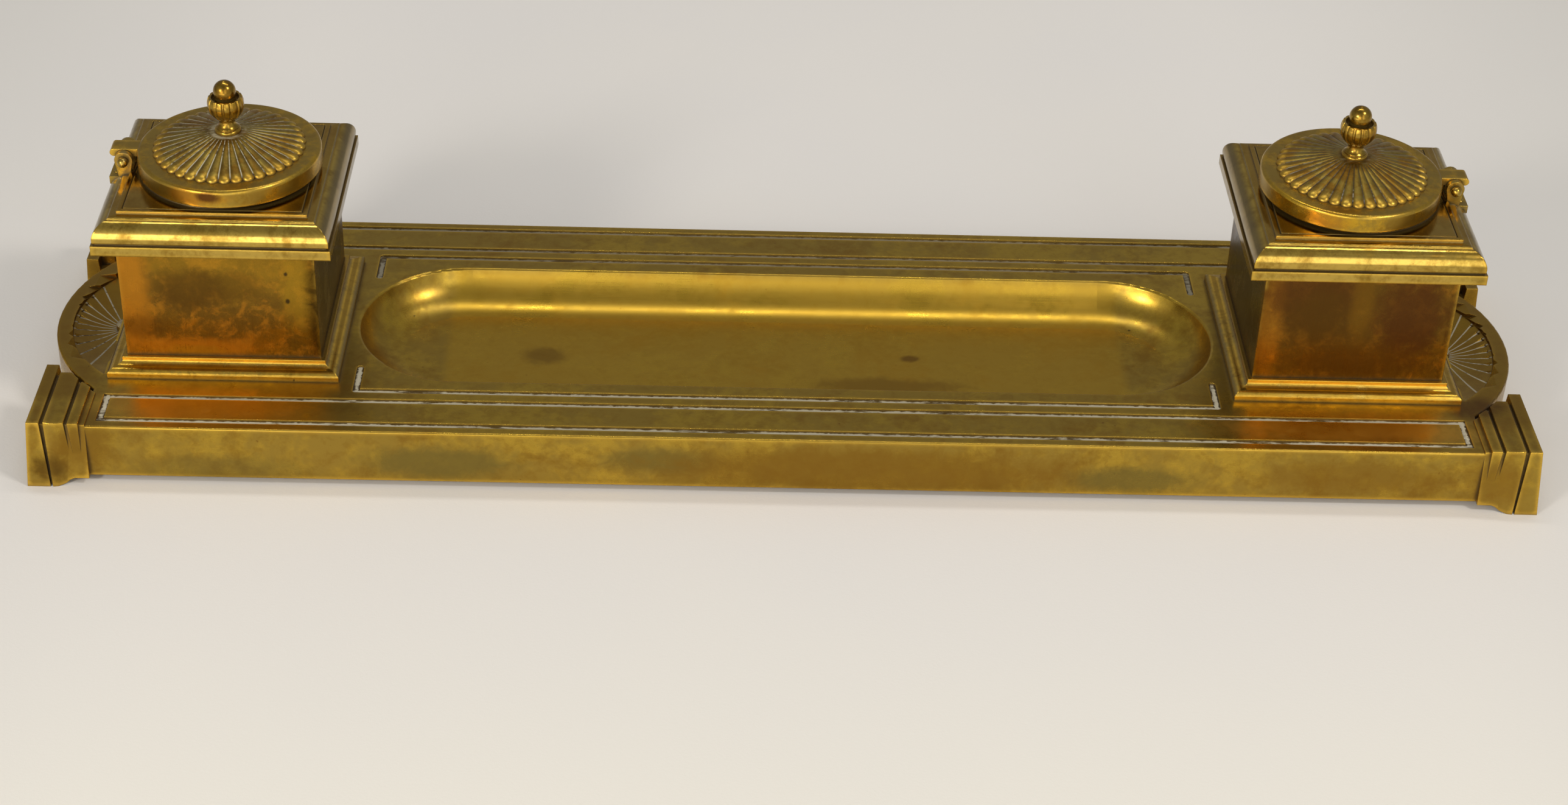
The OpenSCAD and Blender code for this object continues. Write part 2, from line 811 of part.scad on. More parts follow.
module right_hinge_bracket() {
    color("goldenrod") difference() {
        union() {
            along_y(2 * bracket_half) polygon([
                [well_x + well_half, foot_z], [foot_out, foot_z], [foot_out, foot_top],
                [hook_x, foot_top], [hook_x, body_top], [well_x + well_half, body_top]]);
            for (y = [-bracket_half, lug_y]) translate([0, y + lug_t / 2, 0]) along_y(lug_t) lug_side();
        }
        translate([pin_x, 0, pin_z]) rotate([90, 0, 0])
            cylinder(r = pin_r + lug_fit, h = 4 * bracket_half, center = true);
        rivet_holes();
    }
}

module right_hinge_pin() {
    color("gold") translate([pin_x, 0, pin_z]) rotate([90, 0, 0]) rotate_extrude() {
        translate([0, -ball_y]) square([pin_r, 2 * ball_y]);
        for (end = [-1, 1]) translate([0, end * ball_y]) intersection() {
            circle(ball_r);
            translate([0, -ball_r]) square([ball_r, 2 * ball_r]);
        }
    }
}

module bracket_rivets() {
    head_r = rivet_r + 0.35;
    head_h = 0.45;
    color("goldenrod") both_ends() for (y = [-rivet_y, rivet_y]) translate([rivet_x, y, 0]) {
        translate([0, 0, cornice_bottom]) cylinder(r = rivet_r, h = foot_top - cornice_bottom + 0.1);
        translate([0, 0, foot_top]) rotate_extrude() intersection() {
            translate([0, head_h - arc_radius(head_r, head_h)]) circle(arc_radius(head_r, head_h));
            square([head_r, head_h]);
        }
    }
}

// Lids

// Tongue and knuckle of a lid, seen from the front
module tongue_side() {
    tail_r = tongue_t / 2;
    top = pin_z + knuckle_r;
    translate([pin_x, pin_z]) circle(knuckle_r);
    translate([lid_x + lid_recess_r + 1, top - tongue_t])
        square([pin_x + tongue_tail - tail_r - lid_x - lid_recess_r - 1, tongue_t]);
    translate([pin_x + tongue_tail - tail_r, top - tail_r]) circle(tail_r);
}

module right_lid_disc() {
    foot_r = 0.4;
    color("goldenrod") difference() {
        union() {
            translate([lid_x, 0, lid_z]) rotate_extrude() {
                translate([0, foot_r]) round_topped(lid_r, lid_t - foot_r, 1);
                square([lid_r - foot_r, lid_t - 1]);
                intersection() {
                    translate([lid_r - foot_r, foot_r]) circle(foot_r);
                    square([lid_r, lid_t]);
                }
            }
            along_y(tongue_w) tongue_side();
        }
        translate([lid_x, 0, lid_z - over]) {
            cylinder(r = lid_recess_r, h = lid_recess_deep + over);
            cylinder(r = stud_r + stud_fit, h = lid_t + 2 * over);
        }
        translate([pin_x, 0, pin_z]) rotate([90, 0, 0])
            cylinder(r = pin_r + knuckle_fit, h = tongue_w + 2 * over, center = true);
    }
}

// Valleys between the rosette's petals; they deepen from the hub to the edge
module rosette_valleys() {
    pitch = 360 / rosette_petals;
    half_w = rosette_r * tan(pitch / 2) * valley_share;
    for (k = [0 : rosette_petals - 1])
        valley([rosette_hub_r, rosette_h], [rosette_r + 0.5, rosette_edge_h - rosette_valley_deep],
               half_w / rosette_valley_deep, (k + 0.5) * pitch);
}

module rosette_scallops() {
    scallop_r = rosette_r * sin(180 / rosette_petals);
    circle(rosette_r - scallop_r);
    for (k = [0 : rosette_petals - 1]) rotate(k * 360 / rosette_petals)
        translate([rosette_r - scallop_r, 0]) circle(scallop_r);
}

// Half the rosette's section: a low cone with a rounded edge and a flat hub
module rosette_section() {
    edge_r = 0.9;
    // A little wider than the scallops, which trim it
    wide_r = rosette_r + 0.15;
    polygon([[0, 0], [wide_r, 0], [wide_r, rosette_edge_h - edge_r],
             [wide_r - edge_r, rosette_edge_h], [rosette_hub_r, rosette_h], [0, rosette_h]]);
    translate([wide_r - edge_r, rosette_edge_h - edge_r]) circle(edge_r);
}

module right_lid_rosette() {
    color("goldenrod") translate([lid_x, 0, lid_top]) difference() {
        intersection() {
            rotate_extrude() rosette_section();
            linear_extrude(rosette_h + over) rosette_scallops();
        }
        rosette_valleys();
        translate([0, 0, -over]) cylinder(r = stud_r + stud_fit, h = rosette_h + 2 * over);
    }
}

// Half the finial's outline: ring, waist, round cup and acorn, measured from the rosette's top
module finial_profile() {
    ring_r = 3.5;
    ring_h = 1;
    foot_r = 3;
    waist_r = 2.1;
    waist_z = 3.3;
    sweep_r = 2.4;
    cup_start = waist_z + 0.6;
    rim_w = 1.15;
    rim_deep = 1.1;
    socket_z = cup_top - rim_deep - 0.4;
    acorn_foot_r = acorn_r - 0.3;
    // The acorn is a ball up to this angle, and a low cone from there to its tip
    point = 70;
    ball_z = finial_h - acorn_r / sin(point);
    round_topped(ring_r, ring_h, ring_h / 2);
    difference() {
        translate([0, ring_h / 2]) square([foot_r, cup_z - ring_h]);
        translate([waist_r + sweep_r, waist_z]) circle(sweep_r);
    }
    difference() {
        intersection() {
            translate([0, cup_z]) circle(finial_cup_r);
            translate([0, cup_start]) square([finial_cup_r, cup_top - cup_start]);
        }
        translate([0, cup_top - rim_deep]) square([finial_cup_r - rim_w, 2 * rim_deep]);
    }
    polygon([[0, socket_z], [acorn_foot_r, socket_z], [acorn_r, ball_z],
             [acorn_r * cos(point), ball_z + acorn_r * sin(point)], [0, finial_h]]);
    intersection() {
        translate([0, ball_z]) circle(acorn_r);
        square([acorn_r, finial_h]);
    }
}

// Grooves between the lobes of the finial's cup
module cup_grooves() {
    groove_r = 0.45;
    out = 0.1;
    lowest = -55;
    highest = asin((cup_top - cup_z) / finial_cup_r) + 10;
    for (k = [0 : cup_lobes - 1])
        rotate([0, 0, (k + 0.5) * 360 / cup_lobes]) translate([0, 0, cup_z]) rotate([90, 0, 0])
            rotate_extrude(angle = highest - lowest, start = lowest)
                translate([finial_cup_r + out, 0]) circle(groove_r, $fn = 32);
}

module right_lid_finial() {
    color("goldenrod") translate([lid_x, 0, rosette_top]) {
        difference() {
            rotate_extrude() finial_profile();
            cup_grooves();
        }
        translate([0, 0, lid_ceiling - nut_t - rosette_top])
            cylinder(r = stud_r, h = rosette_top - lid_ceiling + nut_t + 0.1);
    }
}

module right_finial_nut() {
    slot_w = 1;
    color("peru") translate([lid_x, 0, lid_ceiling - nut_t]) difference() {
        cylinder(r = nut_r, h = nut_t);
        translate([0, 0, -over]) cylinder(r = stud_r, h = nut_t + 2 * over);
        for (side = [-1, 1]) translate([-slot_w / 2, side * nut_r - 0.8, -over])
            cube([slot_w, 1.6, 0.8 + over]);
    }
}

// Slotted screws from under the tray into the floor plates
module well_screws() {
    slot_w = 0.9;
    slot_deep = 0.9;
    head_z = roof_z - screw_head_t;
    color("silver") screw_places() {
        translate([0, 0, roof_z - 0.1])
            cylinder(r = screw_r, h = tray_wall + floor_t - 0.1);
        difference() {
            translate([0, 0, roof_z]) mirror([0, 0, 1]) rotate_extrude()
                round_topped(screw_head_r, screw_head_t, 0.7);
            translate([-screw_head_r - over, -slot_w / 2, head_z - over])
                cube([2 * (screw_head_r + over), slot_w, slot_deep + over]);
        }
    }
}

module left_well_plinth() left() right_well_plinth();
module left_well_body() left() right_well_body();
module left_well_cornice() left() right_well_cornice();
module left_well_floor() left() right_well_floor();
module left_hinge_bracket() left() right_hinge_bracket();
module left_hinge_pin() left() right_hinge_pin();
module left_lid_disc() left() right_lid_disc();
module left_lid_rosette() left() right_lid_rosette();
module left_lid_finial() left() right_lid_finial();
module left_finial_nut() left() right_finial_nut();
module left_ink_liner() left() right_ink_liner();

base_tray();
left_well_plinth();
right_well_plinth();
left_well_body();
right_well_body();
left_well_cornice();
right_well_cornice();
left_well_floor();
right_well_floor();
left_hinge_bracket();
right_hinge_bracket();
left_hinge_pin();
right_hinge_pin();
left_lid_disc();
right_lid_disc();
left_lid_rosette();
right_lid_rosette();
left_lid_finial();
right_lid_finial();
left_finial_nut();
right_finial_nut();
left_ink_liner();
right_ink_liner();
well_screws();
bracket_rivets();
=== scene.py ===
# %% [markdown]
# # A brass desk inkstand
# The pieces come in from the imported model at their real size, in metres, with +Z up and
# the table at z = 0. They could all be modelled again here, but their shapes are already
# right, so most of them only get a finish. This lesson makes those finishes from shader
# nodes, models the two fluted rosettes, and sets up the light and the camera.

# %% Load the model
import math

import bmesh
import bpy
from mathutils import Matrix, Vector


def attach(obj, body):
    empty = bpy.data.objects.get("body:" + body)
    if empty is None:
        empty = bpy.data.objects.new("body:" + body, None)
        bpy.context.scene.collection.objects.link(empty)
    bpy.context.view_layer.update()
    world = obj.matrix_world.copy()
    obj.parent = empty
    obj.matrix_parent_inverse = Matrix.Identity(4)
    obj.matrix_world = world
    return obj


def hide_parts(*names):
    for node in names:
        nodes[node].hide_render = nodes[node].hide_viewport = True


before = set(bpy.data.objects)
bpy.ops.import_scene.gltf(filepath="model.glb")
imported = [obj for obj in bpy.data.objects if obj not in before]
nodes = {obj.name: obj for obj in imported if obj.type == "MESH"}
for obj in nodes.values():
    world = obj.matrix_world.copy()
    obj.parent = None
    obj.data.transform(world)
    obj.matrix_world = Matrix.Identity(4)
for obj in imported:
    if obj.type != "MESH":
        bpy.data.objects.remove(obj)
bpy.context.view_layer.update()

MM = 0.001

# %% [markdown]
# ## Camera
# The inkstand is seen from the front, about 34 degrees above the table, from about 0.8 m
# away. Such a camera can be placed by eye, or worked out from edges and corners whose
# places are known. The second way was used, so that all edges run as they should. A roll
# of two degrees belongs to it.

# %% Camera
VIEW_YAW, VIEW_PITCH, VIEW_ROLL = 1.617, 34.447, 2.065  # degrees
VIEW_FROM = Vector((-18.7, -658.0, 444.3)) * MM
FOCAL_LENGTH = 64.38  # millimetres, like the width of the sensor
SENSOR_WIDTH = 36


def add_object(name, data):
    """A new object in the scene."""
    made = bpy.data.objects.new(name, data)
    bpy.context.scene.collection.objects.link(made)
    return made


def add_camera():
    """A camera that looks along +Y, then is turned, tipped down and rolled."""
    lens = bpy.data.cameras.new("camera")
    lens.lens = FOCAL_LENGTH
    lens.sensor_width = SENSOR_WIDTH
    made = add_object("camera", lens)
    turn = Matrix.Rotation(math.radians(-VIEW_YAW), 4, "Z")
    tip = Matrix.Rotation(math.radians(90 - VIEW_PITCH), 4, "X")
    roll = Matrix.Rotation(math.radians(VIEW_ROLL), 4, "Z")
    made.matrix_world = Matrix.Translation(VIEW_FROM) @ turn @ tip @ roll
    bpy.context.scene.camera = made
    return made


camera = add_camera()
print("camera", [round(v, 3) for v in camera.matrix_world.translation], "m")

# %% [markdown]
# ## Small helpers for node trees
# Every finish below is a tree of shader nodes. It could be joined up by hand in the shader
# editor, but then a text could not show it. These helpers make one node each and return
# the socket that carries the result, so that a tree reads like a formula.

# %% Node helpers
def node(tree, kind, **settings):
    """A new shader node of some kind, with its settings."""
    made = tree.nodes.new("ShaderNode" + kind)
    for name, value in settings.items():
        setattr(made, name, value)
    return made


def plug(tree, socket, value):
    """Link a socket, or set a plain value on it."""
    if isinstance(value, bpy.types.NodeSocket):
        tree.links.new(value, socket)
    else:
        socket.default_value = value


def feed(tree, made, **values):
    """Plug sockets by their names, with _ for a space, and return the node's outputs."""
    for name, value in values.items():
        plug(tree, made.inputs[name.replace("_", " ")], value)
    return made.outputs


def feed_first(tree, made, *values):
    """Plug a node's first sockets, and return its first output."""
    for socket, value in zip(made.inputs, values):
        plug(tree, socket, value)
    return made.outputs[0]


def maths(tree, operation, *values, clamp=False):
    return feed_first(tree, node(tree, "Math", operation=operation, use_clamp=clamp), *values)


def product(tree, first, *others):
    for other in others:
        first = maths(tree, "MULTIPLY", first, other)
    return first


print("helpers: node, plug, feed, feed_first, maths, product")

# %% [markdown]
# ## Masks and colours
# A mask is a number from 0 to 1 that says where something shows. A soft step makes one
# from a distance or from noise, and a tint lays a second colour where the mask is 1. A
# colour ramp does both at once, but the two small steps can be put together in more ways.

# %% Masks and colours
MIX_MASK, MIX_FIRST, MIX_SECOND, MIX_RESULT = 0, 6, 7, 2  # the Mix node's sockets for colours


def fade(tree, value, start, end):
    """A soft step: 0 at start and before it, 1 at end and after it."""
    made = node(tree, "MapRange", interpolation_type="SMOOTHSTEP")
    return feed(tree, made, Value=value, From_Min=start, From_Max=end)[0]


def tint(tree, mask, first, second):
    """The first colour, and the second one where the mask is 1."""
    made = node(tree, "Mix", data_type="RGBA")
    for socket, value in ((MIX_MASK, mask), (MIX_FIRST, first), (MIX_SECOND, second)):
        plug(tree, made.inputs[socket], value)
    return made.outputs[MIX_RESULT]


def opposite(tree, mask):
    return maths(tree, "SUBTRACT", 1, mask)


print("helpers: fade, tint, opposite")

# %% [markdown]
# ## Places
# A pattern needs a place to hang on. Unwrapped pictures give one, but a cast piece has no
# natural seams to unwrap along. So every pattern here hangs on the point in space, in
# millimetres on the closed inkstand. It stays with a lid that swings open.

# %% Places
def vector_maths(tree, operation, first, second):
    return feed_first(tree, node(tree, "VectorMath", operation=operation), first, second)


def parts_of(tree, vector):
    """The x, y and z of a vector."""
    return feed(tree, node(tree, "SeparateXYZ"), Vector=vector)


def combined(tree, x, y, z):
    return feed_first(tree, node(tree, "CombineXYZ"), x, y, z)


def rest_place(tree):
    """Where a point is on the closed inkstand, in millimetres."""
    metres = node(tree, "TexCoord").outputs["Object"]
    scaled = node(tree, "VectorMath", operation="SCALE")
    return feed(tree, scaled, Vector=metres, Scale=1 / MM)[0]


def facing(tree):
    """Which way the surface faces, as x, y and z from -1 to 1."""
    return parts_of(tree, node(tree, "NewGeometry").outputs["Normal"])


def cloud(tree, place, size, detail=3.0, roughness=0.55, distortion=0.0):
    """Soft noise with features of about this size in millimetres."""
    scale = 1 / size if isinstance(size, (int, float)) else maths(tree, "DIVIDE", 1, size)
    return feed(tree, node(tree, "TexNoise"), Vector=place, Scale=scale, Detail=detail,
                Roughness=roughness, Distortion=distortion)[0]


print("helpers for places and noise: 6")

# %% [markdown]
# ## Groups and materials
# Wear, tarnish and dust come back on many pieces. Their nodes could be copied into each
# material, and would soon differ by mistake. A node group is built once, with named
# sockets, and each material places it with its own values.

# %% Groups and materials
def shader_group(name, inputs, outputs):
    """A node group with named sockets, and its inner ends. All outputs are numbers."""
    tree = bpy.data.node_groups.new(name, "ShaderNodeTree")
    for label, value in inputs.items():
        kind = "NodeSocketVector" if isinstance(value, tuple) else "NodeSocketFloat"
        socket = tree.interface.new_socket(name=label, in_out="INPUT", socket_type=kind)
        socket.default_value = value
    for label in outputs:
        tree.interface.new_socket(name=label, in_out="OUTPUT", socket_type="NodeSocketFloat")
    given = tree.nodes.new("NodeGroupInput").outputs
    put = tree.nodes.new("NodeGroupOutput").inputs
    return tree, given, put


def use(tree, group, **values):
    """Place a group in a tree."""
    return feed(tree, node(tree, "Group", node_tree=group), **values)


def report(group):
    print("group:", group.name, list(group.interface.items_tree.keys()))


def new_material(name):
    """A new material, its node tree and its Principled BSDF."""
    material = bpy.data.materials.new(name)
    material.use_nodes = True
    return material, material.node_tree, material.node_tree.nodes["Principled BSDF"]


def add_relief(tree, skin, height, strength, depth, normal=None):
    """Turn a height into small bumps, of a depth in millimetres."""
    bump = node(tree, "Bump")
    feed(tree, bump, Strength=strength, Distance=depth * MM, Height=height)
    if normal is not None:
        feed(tree, bump, Normal=normal)
    feed(tree, skin, Normal=bump.outputs[0])


print("helpers for groups and materials: 5")

# %% [markdown]
# ## Hollows and edges
# Old brass is dark in its quirks, where polish never reaches, and bright on its arrises,
# where every cloth rubs. Both could be painted by hand on each piece. Here they are
# measured: short rays from the surface find out how closed in a point is, and rays into
# the metal find out how near an edge it is.

# %% Hollows and edges
RAYS = 6
HOLLOW_FADE = (0.12, 0.55)
EDGE_FADE = (0.10, 0.5)


def hollows_and_edges():
    tree, given, put = shader_group("hollows and edges", {"Reach": 0.002}, ["Hollow", "Edge"])
    for label, inside, limits in (("Hollow", False, HOLLOW_FADE), ("Edge", True, EDGE_FADE)):
        shade = node(tree, "AmbientOcclusion", inside=inside, samples=RAYS)
        closed = opposite(tree, feed(tree, shade, Distance=given["Reach"])["AO"])
        plug(tree, put[label], fade(tree, closed, *limits))
    return tree


HOLLOWS_AND_EDGES = hollows_and_edges()
report(HOLLOWS_AND_EDGES)

# %% [markdown]
# ## Tarnish
# Brass tarnishes in clouds: olive and brown first, then orange and plum-red where a
# finger or a drop lay. One cloud of noise looks like fog, so a wide one gives the patches
# and a fine one frays their edges.

# %% Tarnish
FINE_PART = 0.35
FINE_TIMES_SMALLER = 6
MIDDLE_OF_NONE = 0.7  # the noise seldom rises above 0.7 or falls below 0.3
MIDDLE_PER_SHARE = -0.4


def tarnish():
    tree, given, put = shader_group(
        "tarnish",
        {"Place": (0, 0, 0), "Cloud": 22.0, "Share": 0.5, "Softness": 0.12},
        ["Mask"],
    )
    wide = cloud(tree, given["Place"], given["Cloud"], detail=5, roughness=0.6, distortion=0.6)
    small = maths(tree, "DIVIDE", given["Cloud"], FINE_TIMES_SMALLER)
    fine = cloud(tree, given["Place"], small, detail=4, roughness=0.65)
    both = maths(tree, "MULTIPLY_ADD", fine, FINE_PART, product(tree, wide, 1 - FINE_PART))
    middle = maths(tree, "MULTIPLY_ADD", given["Share"], MIDDLE_PER_SHARE, MIDDLE_OF_NONE)
    low = maths(tree, "SUBTRACT", middle, given["Softness"])
    high = maths(tree, "ADD", middle, given["Softness"])
    plug(tree, put["Mask"], fade(tree, both, low, high))
    return tree


TARNISH = tarnish()
report(TARNISH)

# %% [markdown]
# ## Specks
# Small dark pits and spots lie scattered over old castings. Strong noise would put them
# everywhere. Cells of a Voronoi pattern give each spot one place instead, and two values
# that belong to the cell decide if it has a spot and how big that is.

# %% Specks
WOBBLE_SCALE = 1.3  # per millimetre, so that no spot is quite round
SMALLEST_SPECK = 0.3
SPECK_CORE = 0.45


def specks():
    tree, given, put = shader_group(
        "specks",
        {"Place": (0, 0, 0), "Spacing": 9.0, "Radius": 0.5, "Share": 0.4},
        ["Mask"],
    )
    rough = feed(tree, node(tree, "TexNoise"), Vector=given["Place"], Scale=WOBBLE_SCALE)
    uneven = vector_maths(tree, "ADD", given["Place"], rough["Color"])
    scale = maths(tree, "DIVIDE", 1, given["Spacing"])
    cells = feed(tree, node(tree, "TexVoronoi"), Vector=uneven, Scale=scale)
    far = maths(tree, "MULTIPLY", cells["Distance"], given["Spacing"])
    lot = parts_of(tree, cells["Color"])
    size = maths(tree, "MULTIPLY", given["Radius"], maths(tree, "ADD", lot[1], SMALLEST_SPECK))
    spot = fade(tree, far, size, maths(tree, "MULTIPLY", size, SPECK_CORE))
    drawn = maths(tree, "LESS_THAN", lot[0], given["Share"])
    plug(tree, put["Mask"], product(tree, spot, drawn))
    return tree


SPECKS = specks()
report(SPECKS)

# %% [markdown]
# ## Blotches
# Some stains have a place of their own: a plum-coloured bloom on a wall, a red patch on a
# rim. They could be painted on a picture. A blotch made of nodes is a ball round a point,
# pressed flat along each axis as asked, with a ragged edge from noise. A list of such
# blotches is easy to read and to change.

# %% Blotches
BLOTCH_FADE = (1.15, 0.45)
RAG_SIZE = 5


def blotches():
    tree, given, put = shader_group(
        "blotch",
        {"Place": (0, 0, 0), "Centre": (0, 0, 0), "Reach": (10, 10, 10), "Ragged": 0.9},
        ["Mask"],
    )
    away = vector_maths(tree, "SUBTRACT", given["Place"], given["Centre"])
    far = node(tree, "VectorMath", operation="LENGTH")
    plug(tree, far.inputs[0], vector_maths(tree, "DIVIDE", away, given["Reach"]))
    noise = cloud(tree, given["Place"], RAG_SIZE, detail=5, roughness=0.65, distortion=0.8)
    rough = maths(tree, "SUBTRACT", noise, 0.5)
    edge = maths(tree, "MULTIPLY_ADD", rough, given["Ragged"], far.outputs["Value"])
    plug(tree, put["Mask"], fade(tree, edge, *BLOTCH_FADE))
    return tree


def bloom(tree, place, colour, new_colour, centre, reach, strength, ragged=0.9):
    """Lay one blotch of a new colour over a colour."""
    mask = use(tree, BLOTCH, Place=place, Centre=centre, Reach=reach, Ragged=ragged)[0]
    return tint(tree, product(tree, mask, strength), colour, new_colour)


def lay_blooms(tree, place, colour, blooms):
    """Lay blotches one after another: each is a colour, a centre, a reach and a strength."""
    for new_colour, centre, reach, strength in blooms:
        colour = bloom(tree, place, colour, new_colour, centre, reach, strength)
    return colour


BLOTCH = blotches()
report(BLOTCH)

# %% [markdown]
# ## Polish residue
# Polish dries white in grooves and never quite comes out again. Little ridges could be
# modelled, but it is thinner than its groove. So it is a mask that fills some stretches
# and leaves others dark. The group breaks up any mask that it is given in this way.

# %% Polish residue
RUN_SIZE, RUN_PART = 14, 0.7
CRUMB_SIZE, CRUMB_PART = 0.8, 0.6
CRUMB_DRAW = (0.25, 1, 1)
COVER_NONE, PER_COVER = 0.90, -0.5
COVER_SOFTNESS = 0.16


def residue():
    tree, given, put = shader_group(
        "polish residue",
        {"Place": (0, 0, 0), "Where": 0.0, "Cover": 0.6},
        ["Mask", "Height"],
    )
    runs = cloud(tree, given["Place"], RUN_SIZE, detail=2, roughness=0.5)
    drawn = vector_maths(tree, "MULTIPLY", given["Place"], CRUMB_DRAW)
    crumbs = cloud(tree, drawn, CRUMB_SIZE, detail=3, roughness=0.75)
    amount = maths(tree, "ADD", product(tree, runs, RUN_PART), product(tree, crumbs, CRUMB_PART))
    start = maths(tree, "MULTIPLY_ADD", given["Cover"], PER_COVER, COVER_NONE)
    kept = fade(tree, amount, start, maths(tree, "ADD", start, COVER_SOFTNESS))
    mask = product(tree, kept, given["Where"])
    plug(tree, put["Mask"], mask)
    plug(tree, put["Height"], product(tree, mask, crumbs))
    return tree


RESIDUE = residue()
report(RESIDUE)

# %% [markdown]
# ## Rubbed grain
# A century of cloths has left fine hairlines along each piece. The shader's anisotropy
# stretches highlights alike everywhere. Noise that is drawn out along one axis gives
# single hairs instead, as a height for the bump and as a little roughness.

# %% Rubbed grain
HAIR_WIDTH = 0.35
WAVE_WIDTH, WAVE_HEIGHT = 3.5, 3.0


def rubbed_grain():
    tree, given, put = shader_group(
        "rubbed grain",
        {"Place": (0, 0, 0), "Draw": (0.04, 1.0, 1.0)},
        ["Height", "Haze"],
    )
    drawn = vector_maths(tree, "MULTIPLY", given["Place"], given["Draw"])
    hairs = cloud(tree, drawn, HAIR_WIDTH, detail=3, roughness=0.7)
    waves = cloud(tree, given["Place"], WAVE_WIDTH, detail=2, roughness=0.5)
    plug(tree, put["Height"], maths(tree, "MULTIPLY_ADD", waves, WAVE_HEIGHT, hairs))
    plug(tree, put["Haze"], maths(tree, "SUBTRACT", hairs, 0.5))
    return tree


RUBBED_GRAIN = rubbed_grain()
report(RUBBED_GRAIN)

# %% [markdown]
# ## The colours of old brass
# All the metal here is one alloy, but age has given it many colours, from bright yellow
# over olive and brown to plum. They could be chosen piece by piece, but one palette keeps
# the pieces a family. They are written as linear red, green and blue.

# %% The colours of old brass
BRIGHT = (0.82, 0.51, 0.070, 1)
GOLD = (0.60, 0.360, 0.030, 1)
HONEY = (0.50, 0.325, 0.042, 1)
BRONZE = (0.56, 0.385, 0.080, 1)
AMBER = (0.78, 0.40, 0.050, 1)
COPPER = (0.52, 0.215, 0.018, 1)
TAWNY = (0.38, 0.220, 0.018, 1)
OLIVE = (0.36, 0.235, 0.040, 1)
KHAKI = (0.30, 0.215, 0.045, 1)
MOSS = (0.20, 0.150, 0.036, 1)
SMOKE = (0.20, 0.150, 0.070, 1)
BROWN = (0.26, 0.140, 0.018, 1)
CHESTNUT = (0.21, 0.105, 0.012, 1)
RUST = (0.16, 0.055, 0.014, 1)
UMBER = (0.11, 0.055, 0.010, 1)
PLUM = (0.10, 0.036, 0.010, 1)
DIRT = (0.040, 0.026, 0.012, 1)
# painted shade, not a colour of the metal: the near black of the wall sides that face the pen recess
PAINTED_SHADE_BLACK = (0.032, 0.017, 0.005, 1)
CREAM = (0.50, 0.47, 0.36, 1)
PALE = (0.42, 0.39, 0.28, 1)
GREY_CREAM = (0.24, 0.22, 0.17, 1)
print("brightest metal", BRIGHT[:3], "and darkest", PAINTED_SHADE_BLACK[:3])

# %% [markdown]
# ## Aged brass: the layers
# On the real metal, age comes in layers: films, stains, fine mottling, freckles, edges
# that a cloth keeps bright, dirt in the hollows, and dark spots. Each could be worked out
# where it is needed, but colour and roughness need the same ones, so all the masks are
# made once and kept under their names.

# %% Aged brass: the layers
NEAR = 1.6 * MM
STAIN_SHIFT = (71, 37, 53)  # millimetres, so that stains don't follow the films
STAIN_TO_CLOUD = 0.7
MOTTLE_SIZE, MOTTLE_FADE = 4.5, (0.47, 0.66)
CROWD_SIZE, CROWD_FADE = 30, (0.42, 0.62)
PIT_SHARE = 0.35


def brass_masks(tree, place, cloud_size, film_share, stain_share, edge_wear, dirt):
    """Where each layer of age lies."""
    near = use(tree, HOLLOWS_AND_EDGES, Reach=NEAR)
    shifted = vector_maths(tree, "ADD", place, STAIN_SHIFT)
    mottle = cloud(tree, place, MOTTLE_SIZE, detail=5, roughness=0.7, distortion=0.5)
    freckles = use(tree, SPECKS, Place=place, Spacing=2.8, Radius=0.30, Share=0.45)[0]
    crowd = fade(tree, cloud(tree, place, CROWD_SIZE, detail=2, roughness=0.5), *CROWD_FADE)
    return {
        "films": use(tree, TARNISH, Place=place, Cloud=cloud_size, Share=film_share,
                     Softness=0.08)[0],
        "stains": use(tree, TARNISH, Place=shifted, Cloud=cloud_size * STAIN_TO_CLOUD,
                      Share=stain_share, Softness=0.1)[0],
        "mottle": fade(tree, mottle, *MOTTLE_FADE),
        "freckles": product(tree, freckles, crowd),
        "worn": product(tree, near["Edge"], edge_wear),
        "dirty": product(tree, near["Hollow"], dirt),
        "spots": use(tree, SPECKS, Place=place, Share=PIT_SHARE)[0],
    }


print("layers kept for colour and roughness: 7")

# %% [markdown]
# ## Aged brass: colour and gloss
# Old metal could be given one dull colour, but the real one shows every layer. So each is
# laid over the one before: last the stains that have a place of their own, the dirt and
# the spots. A film also dulls the metal and a cloth shines it, so layers change the
# roughness a little. Dried polish lies on top of all, and is no metal.

# %% Aged brass: colour and gloss
STAIN_STRENGTH, SPOT_STRENGTH, BED_STRENGTH = 0.8, 0.85, 0.85
ROUGHER_BY = (("films", 0.08), ("stains", 0.06), ("grain", 0.12), ("dirty", 0.30), ("worn", -0.08))
BED_NOT_METAL = 0.5
DRIED_ROUGHNESS = 0.85
DRIED_HEIGHT = 6.0


def brass_colour(tree, place, masks, fresh, film, stain, mottling, freckling, marks):
    """The colours of all layers. Marks are the stains that one piece has in known places."""
    colour = tint(tree, masks["films"], fresh, film)
    colour = tint(tree, product(tree, masks["stains"], STAIN_STRENGTH), colour, stain)
    colour = tint(tree, product(tree, masks["mottle"], mottling), colour, stain)
    colour = tint(tree, product(tree, masks["freckles"], freckling), colour, RUST)
    colour = tint(tree, masks["worn"], colour, BRIGHT)
    if marks is not None:
        colour = marks(tree, place, colour)
    colour = tint(tree, masks["dirty"], colour, DIRT)
    return tint(tree, product(tree, masks["spots"], SPOT_STRENGTH), colour, DIRT)


def brass_roughness(tree, masks, polish):
    """Start from how well the bare metal is polished, and let each layer change it."""
    rough = polish
    for layer, step in ROUGHER_BY:
        rough = maths(tree, "MULTIPLY_ADD", masks[layer], step, rough, clamp=True)
    return rough


